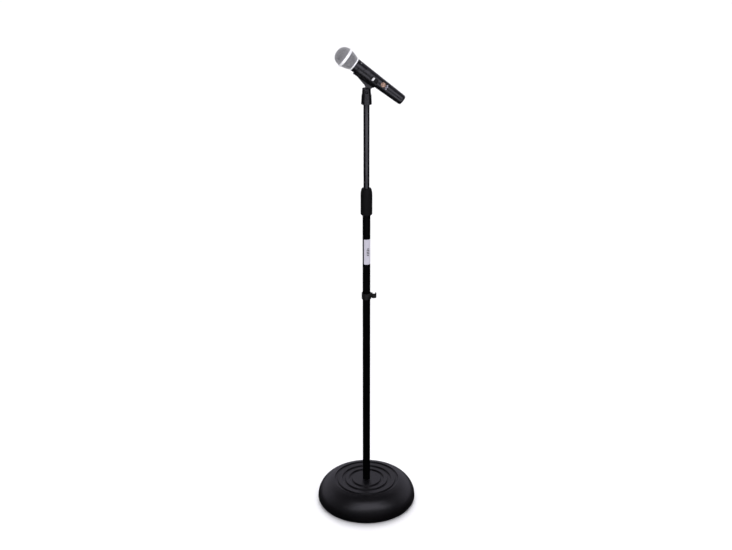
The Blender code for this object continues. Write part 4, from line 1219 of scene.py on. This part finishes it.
class Wires:
    """Collects round wires as plain lists of points and faces."""

    SIDES = 6

    def __init__(self):
        self.points = []
        self.faces = []

    def add(self, path, normals, closed=False):
        """A wire along a path; the normals of the surface that it lies on keep its sides even."""
        count = len(path)
        first = len(self.points)
        for index in range(count):
            before = path[index - 1] if closed or index else path[index]
            after = path[(index + 1) % count] if closed or index < count - 1 else path[index]
            tangent = (after - before).normalized()
            side = tangent.cross(normals[index]).normalized()
            up = side.cross(tangent)
            for number in range(self.SIDES):
                angle = math.tau * number / self.SIDES
                offset = side * math.cos(angle) + up * math.sin(angle)
                self.points.append(path[index] + offset * WIRE_RADIUS)
        last = count if closed else count - 1
        for index in range(last):
            near = first + index * self.SIDES
            far = first + ((index + 1) % count) * self.SIDES
            for number in range(self.SIDES):
                after = (number + 1) % self.SIDES
                self.faces.append((near + number, near + after, far + after, far + number))
        if not closed:
            end = first + (count - 1) * self.SIDES
            self.faces.append(tuple(first + number for number in reversed(range(self.SIDES))))
            self.faces.append(tuple(end + number for number in range(self.SIDES)))

    def piece(self, name, replaces):
        mesh = bpy.data.meshes.new(name)
        mesh.from_pydata(self.points, [], self.faces)
        mesh.shade_smooth()
        return add_piece(name, mesh, "microphone", MATERIALS["grille_wire"], MIC, replaces)


def weave(column, row, length):
    """How far a wire is lifted where it crosses others: up over one, down under the next."""
    return WIRE_RADIUS * 0.95 * math.cos(math.pi * (length + column + row))


def make_front_mesh():
    """Square wire cloth pressed into the grille's dome: two sets of wires that pass over and under."""
    inset = WIRE_RADIUS * 1.9
    steps = 160
    curve = Meridian([dome_point(math.pi / 2 * step / steps, inset) for step in range(steps + 1)])
    wires = Wires()
    reach = curve.total
    count = int(reach / WIRE_PITCH)
    half_step = WIRE_PITCH / 2
    for direction in (0, 1):
        for line in range(-count, count + 1):
            offset = (line + 0.5) * WIRE_PITCH
            if abs(offset) >= reach:
                continue
            half_chord = math.sqrt(reach**2 - offset**2)
            last = int(half_chord / half_step)
            path = []
            normals = []
            for step in range(-last, last + 1):
                travel = step * half_step
                flat = (offset, travel) if direction == 0 else (travel, offset)
                distance = math.hypot(*flat)
                radius, height, out, up = curve.at(distance)
                angle = math.atan2(flat[1], flat[0])
                normal = Vector((out * math.cos(angle), out * math.sin(angle), up))
                lift = weave(line, direction, step / 2 - 0.5)
                point = Vector((radius * math.cos(angle), radius * math.sin(angle), height))
                path.append(point + normal * lift)
                normals.append(normal)
            if len(path) > 2:
                wires.add(path, normals)
    wires.piece("grille_mesh_front", ("mic_grille_front",))


def make_rear_mesh():
    """Wire cloth round the grille's rear part: hoops, and wires that run from the band to the collar."""
    inset = WIRE_RADIUS * 1.9
    steps = 60
    curve = Meridian([rear_point(step / steps, inset) for step in range(steps + 1)])
    wires = Wires()
    around = 2 * round(math.tau * GRILLE_RADIUS * 0.9 / WIRE_PITCH / 2)
    hoops = int(curve.total / WIRE_PITCH)
    spacing = curve.total / hoops

    def surface_point(length, turn, lift):
        radius, height, out, up = curve.at(length)
        normal = Vector((-out * math.cos(turn), -out * math.sin(turn), -up))
        if normal.x * math.cos(turn) + normal.y * math.sin(turn) < 0:
            normal.negate()
        point = Vector((radius * math.cos(turn), radius * math.sin(turn), height))
        return point + normal * lift, normal

    for number in range(around):
        turn = math.tau * number / around
        samples = []
        for step in range(2 * hoops + 1):
            samples.append(surface_point(step * spacing / 2, turn, weave(number, 0, step / 2)))
        wires.add([point for point, _ in samples], [normal for _, normal in samples])
    for hoop in range(1, hoops):
        samples = []
        for step in range(2 * around):
            turn = math.tau * step / (2 * around)
            samples.append(surface_point(hoop * spacing, turn, weave(hoop, 1, step / 2)))
        wires.add([point for point, _ in samples], [normal for _, normal in samples], closed=True)
    wires.piece("grille_mesh_rear", ("mic_grille_rear",))


def make_foam():
    """The foam liner inside the wire ball, with the small hollows of its open cells."""
    thickness = 3 * MM
    inset = 1.8 * MM
    outside = [dome_point(math.pi / 2 * step / 56, inset) for step in range(56)]
    outside += [rear_point(share / 30, inset) for share in range(2, 30)]
    inside = [dome_point(math.pi / 2 * step / 24, inset + thickness) for step in range(24)]
    inside += [rear_point(share / 12, inset + thickness * (1 - share / 24)) for share in range(1, 12)]
    foam = lathe(outside + inside[::-1], 160)
    for vert in foam.verts:
        cell = noise.cell(vert.co / (0.9 * MM)) * 0.16 + noise.noise(vert.co / (2.2 * MM)) * 0.14
        vert.co -= vert.co.normalized() * abs(cell) * MM
    piece = add("foam_liner", foam, "microphone", "foam_black", MIC, ("mic_foam",), sharp=180)


def make_connector():
    """The three-pin connector in the tail: a stepped insert with a key, and round-nosed pins."""
    low, high = measure("xlr_insert", MIC)
    radius = high.y
    corners = [
        (0, high.z, 0),
        (radius, high.z, 0.3 * MM),
        (radius, low.z, 0.3 * MM),
        (radius - 0.8 * MM, low.z, 0.2 * MM),
        (radius - 0.9 * MM, low.z + 0.6 * MM, 0.2 * MM),
        (radius - 1.7 * MM, low.z + 0.6 * MM, 0.2 * MM),
        (radius - 1.8 * MM, low.z, 0.2 * MM),
        (0, low.z, 0),
    ]
    outline = dense(rounded(corners, 3, closed=False), 1.5 * MM)
    insert = add("connector_insert", lathe(outline, 96), "microphone", "plastic_black", MIC, ("xlr_insert",))
    key = slab(rectangle(0.9 * MM, 1.2 * MM, 0.2 * MM), low.z - 8 * MM, low.z + 0.4 * MM)
    shift(key, radius - 1.2 * MM)
    holes = []
    pin_radius = 1.15 * MM
    for number in range(3):
        node = f"xlr_pin_{number + 1}"
        pin_low, pin_high = measure(node, MIC)
        middle = (pin_low + pin_high) / 2
        at = MIC @ Matrix.Translation((middle.x, middle.y, 0))
        holes.append(helper_object("pin_hole", rod(1.5 * MM, high.z + MM, low.z - MM, 40), at))
        nose = arc((0, 0), pin_radius, 0, -math.pi / 2, 8)
        outline = [(0, pin_high.z), (pin_radius, pin_high.z)]
        outline += [(x, pin_low.z + 1.2 * MM + y) for x, y in nose]
        outline = [point if point[0] > 1e-6 else (0, point[1]) for point in outline]
        add(f"connector_pin_{number + 1}", lathe(outline, 48), "microphone", "pin_nickel", at, (node,))
    combine(insert, helper_object("key", key, MIC), operation="UNION")
    combine(insert, *holes)
    shade(insert)


# Scene

CAMERA_PLACE = (-0.0011, -2.9946, 1.9322)
CAMERA_DIP = 23.32  # degrees below the horizon
CAMERA_LENS = 65.22
FLOOR_HALF_SIZE = 60
FLOOR_GAP = 0.2 * MM


def finish_hidden_nodes():
    """Gives the CAD nodes that stay as they are the finish of their own material slot."""
    slots = {part["node"]: part["material_slot"] for part in frame["record"]["subparts"]}
    for name, node in frame["nodes"].items():
        node.data.materials.clear()
        node.data.materials.append(MATERIALS[slots[name]])


def make_camera():
    """The view from the front, a little above the microphone, looking down at the base."""
    camera = bpy.data.cameras.new("camera")
    camera.lens = CAMERA_LENS
    camera.sensor_width = 36
    camera.clip_end = 100
    holder = bpy.data.objects.new("camera", camera)
    holder.location = CAMERA_PLACE
    holder.rotation_euler = (math.radians(90 - CAMERA_DIP), 0, 0)
    bpy.context.scene.collection.objects.link(holder)
    bpy.context.scene.camera = holder


def make_floor():
    """A plain pale floor, just below the rubber foot, that doesn't show in reflections."""
    bm = bmesh.new()
    bmesh.ops.create_grid(bm, x_segments=40, y_segments=40, size=FLOOR_HALF_SIZE)
    mesh = bpy.data.meshes.new("studio_floor")
    bm.to_mesh(mesh)
    bm.free()
    mesh.materials.append(floor_finish())
    floor = bpy.data.objects.new("studio_floor", mesh)
    floor.location = (0, 0, -FLOOR_GAP)
    floor.visible_glossy = False
    bpy.context.scene.collection.objects.link(floor)


def add_softbox(name, position, target, size, radiance, tint=(1, 1, 1), reflected=True, lighting=True):
    """A rectangular lamp that faces the target, for reflections, for even light, or for both."""
    width, height = size
    lamp = bpy.data.lights.new(name, "AREA")
    lamp.shape = "RECTANGLE"
    lamp.size = width
    lamp.size_y = height
    lamp.energy = radiance * math.pi * width * height
    lamp.color = tint
    holder = bpy.data.objects.new(name, lamp)
    holder.location = position
    toward = Vector(target) - Vector(position)
    holder.rotation_euler = toward.to_track_quat("-Z", "Y").to_euler()
    holder.visible_camera = False
    holder.visible_glossy = reflected
    holder.visible_diffuse = lighting
    bpy.context.scene.collection.objects.link(holder)


def make_world():
    """A dark studio with a pale sweep behind the object, which lights it and shows in its reflections.

    Where the camera looks past the floor it sees plain white.
    """
    world = bpy.data.worlds.new("studio")
    bpy.context.scene.world = world
    world.use_nodes = True
    tree = world.node_tree
    direction = tree.nodes.new("ShaderNodeTexCoord").outputs["Generated"]
    split = tree.nodes.new("ShaderNodeSeparateXYZ")
    tree.links.new(direction, split.inputs["Vector"])

    def ramp(value, low, high, first, last):
        node = tree.nodes.new("ShaderNodeMapRange")
        node.interpolation_type = "SMOOTHSTEP"
        settings = {"From Min": low, "From Max": high, "To Min": first, "To Max": last}
        for name, number in settings.items():
            node.inputs[name].default_value = number
        tree.links.new(value, node.inputs["Value"])
        return node.outputs["Result"]

    def product(first, second):
        node = tree.nodes.new("ShaderNodeMath")
        node.operation = "MULTIPLY"
        tree.links.new(first, node.inputs[0])
        tree.links.new(second, node.inputs[1])
        return node.outputs["Value"]

    behind = ramp(split.outputs["Y"], -0.2, 0.5, 0.12, 0.56)
    ground = ramp(split.outputs["Z"], -0.15, 0.05, 0.04, 1.0)
    ceiling = ramp(split.outputs["Z"], 0.6, 0.78, 1.0, 0.06)
    background = tree.nodes["Background"]
    background.inputs["Color"].default_value = (0.93, 0.9, 1.06, 1)
    tree.links.new(product(product(behind, ground), ceiling), background.inputs["Strength"])
    pale = tree.nodes.new("ShaderNodeBackground")
    pale.inputs["Color"].default_value = (1, 1, 1, 1)
    seen = tree.nodes.new("ShaderNodeLightPath").outputs["Is Camera Ray"]
    either = tree.nodes.new("ShaderNodeMixShader")
    tree.links.new(seen, either.inputs["Fac"])
    tree.links.new(background.outputs["Background"], either.inputs[1])
    tree.links.new(pale.outputs["Background"], either.inputs[2])
    tree.links.new(either.outputs["Shader"], tree.nodes["World Output"].inputs["Surface"])


def make_lights():
    """Even light from above for the pale floor, and softboxes whose reflections draw the black surfaces."""
    make_world()
    lilac = (0.94, 0.92, 1.06)
    faint_lilac = (0.95, 0.93, 1.06)
    add_softbox("overhead", (0, 0, 6.0), (0, 0, 0), (70, 70), 0.66, reflected=False)
    add_softbox("high_softbox", (0.12, -0.75, 1.48), (0, 0, 0.45), (1.5, 0.62), 1.9, lilac)
    low = ((0.12, -0.8, 0.74), (0, 0, 0.8), (1.9, 0.38), 2.1)
    add_softbox("low_softbox", *low, faint_lilac, lighting=False)
    sun = bpy.data.lights.new("rear_light", "SUN")
    sun.energy = 1.4
    sun.angle = math.radians(35)
    holder = bpy.data.objects.new("rear_light", sun)
    holder.rotation_euler = (math.radians(-32), 0, 0)
    holder.visible_glossy = False
    bpy.context.scene.collection.objects.link(holder)
    bpy.context.scene.view_settings.view_transform = "Standard"


def main():
    make_camera()
    make_base()
    make_underside()
    make_pole()
    make_cable_clip()
    make_clutch()
    make_clip_socket()
    make_cradle()
    make_handle()
    make_badge()
    make_switch()
    make_set_screw("handle_screw", "mic_body_screw", -26)
    make_set_screw("connector_screw", "xlr_screw", 180)
    make_rings()
    make_front_mesh()
    make_rear_mesh()
    make_foam()
    make_connector()
    finish_hidden_nodes()
    make_floor()
    make_lights()


main()
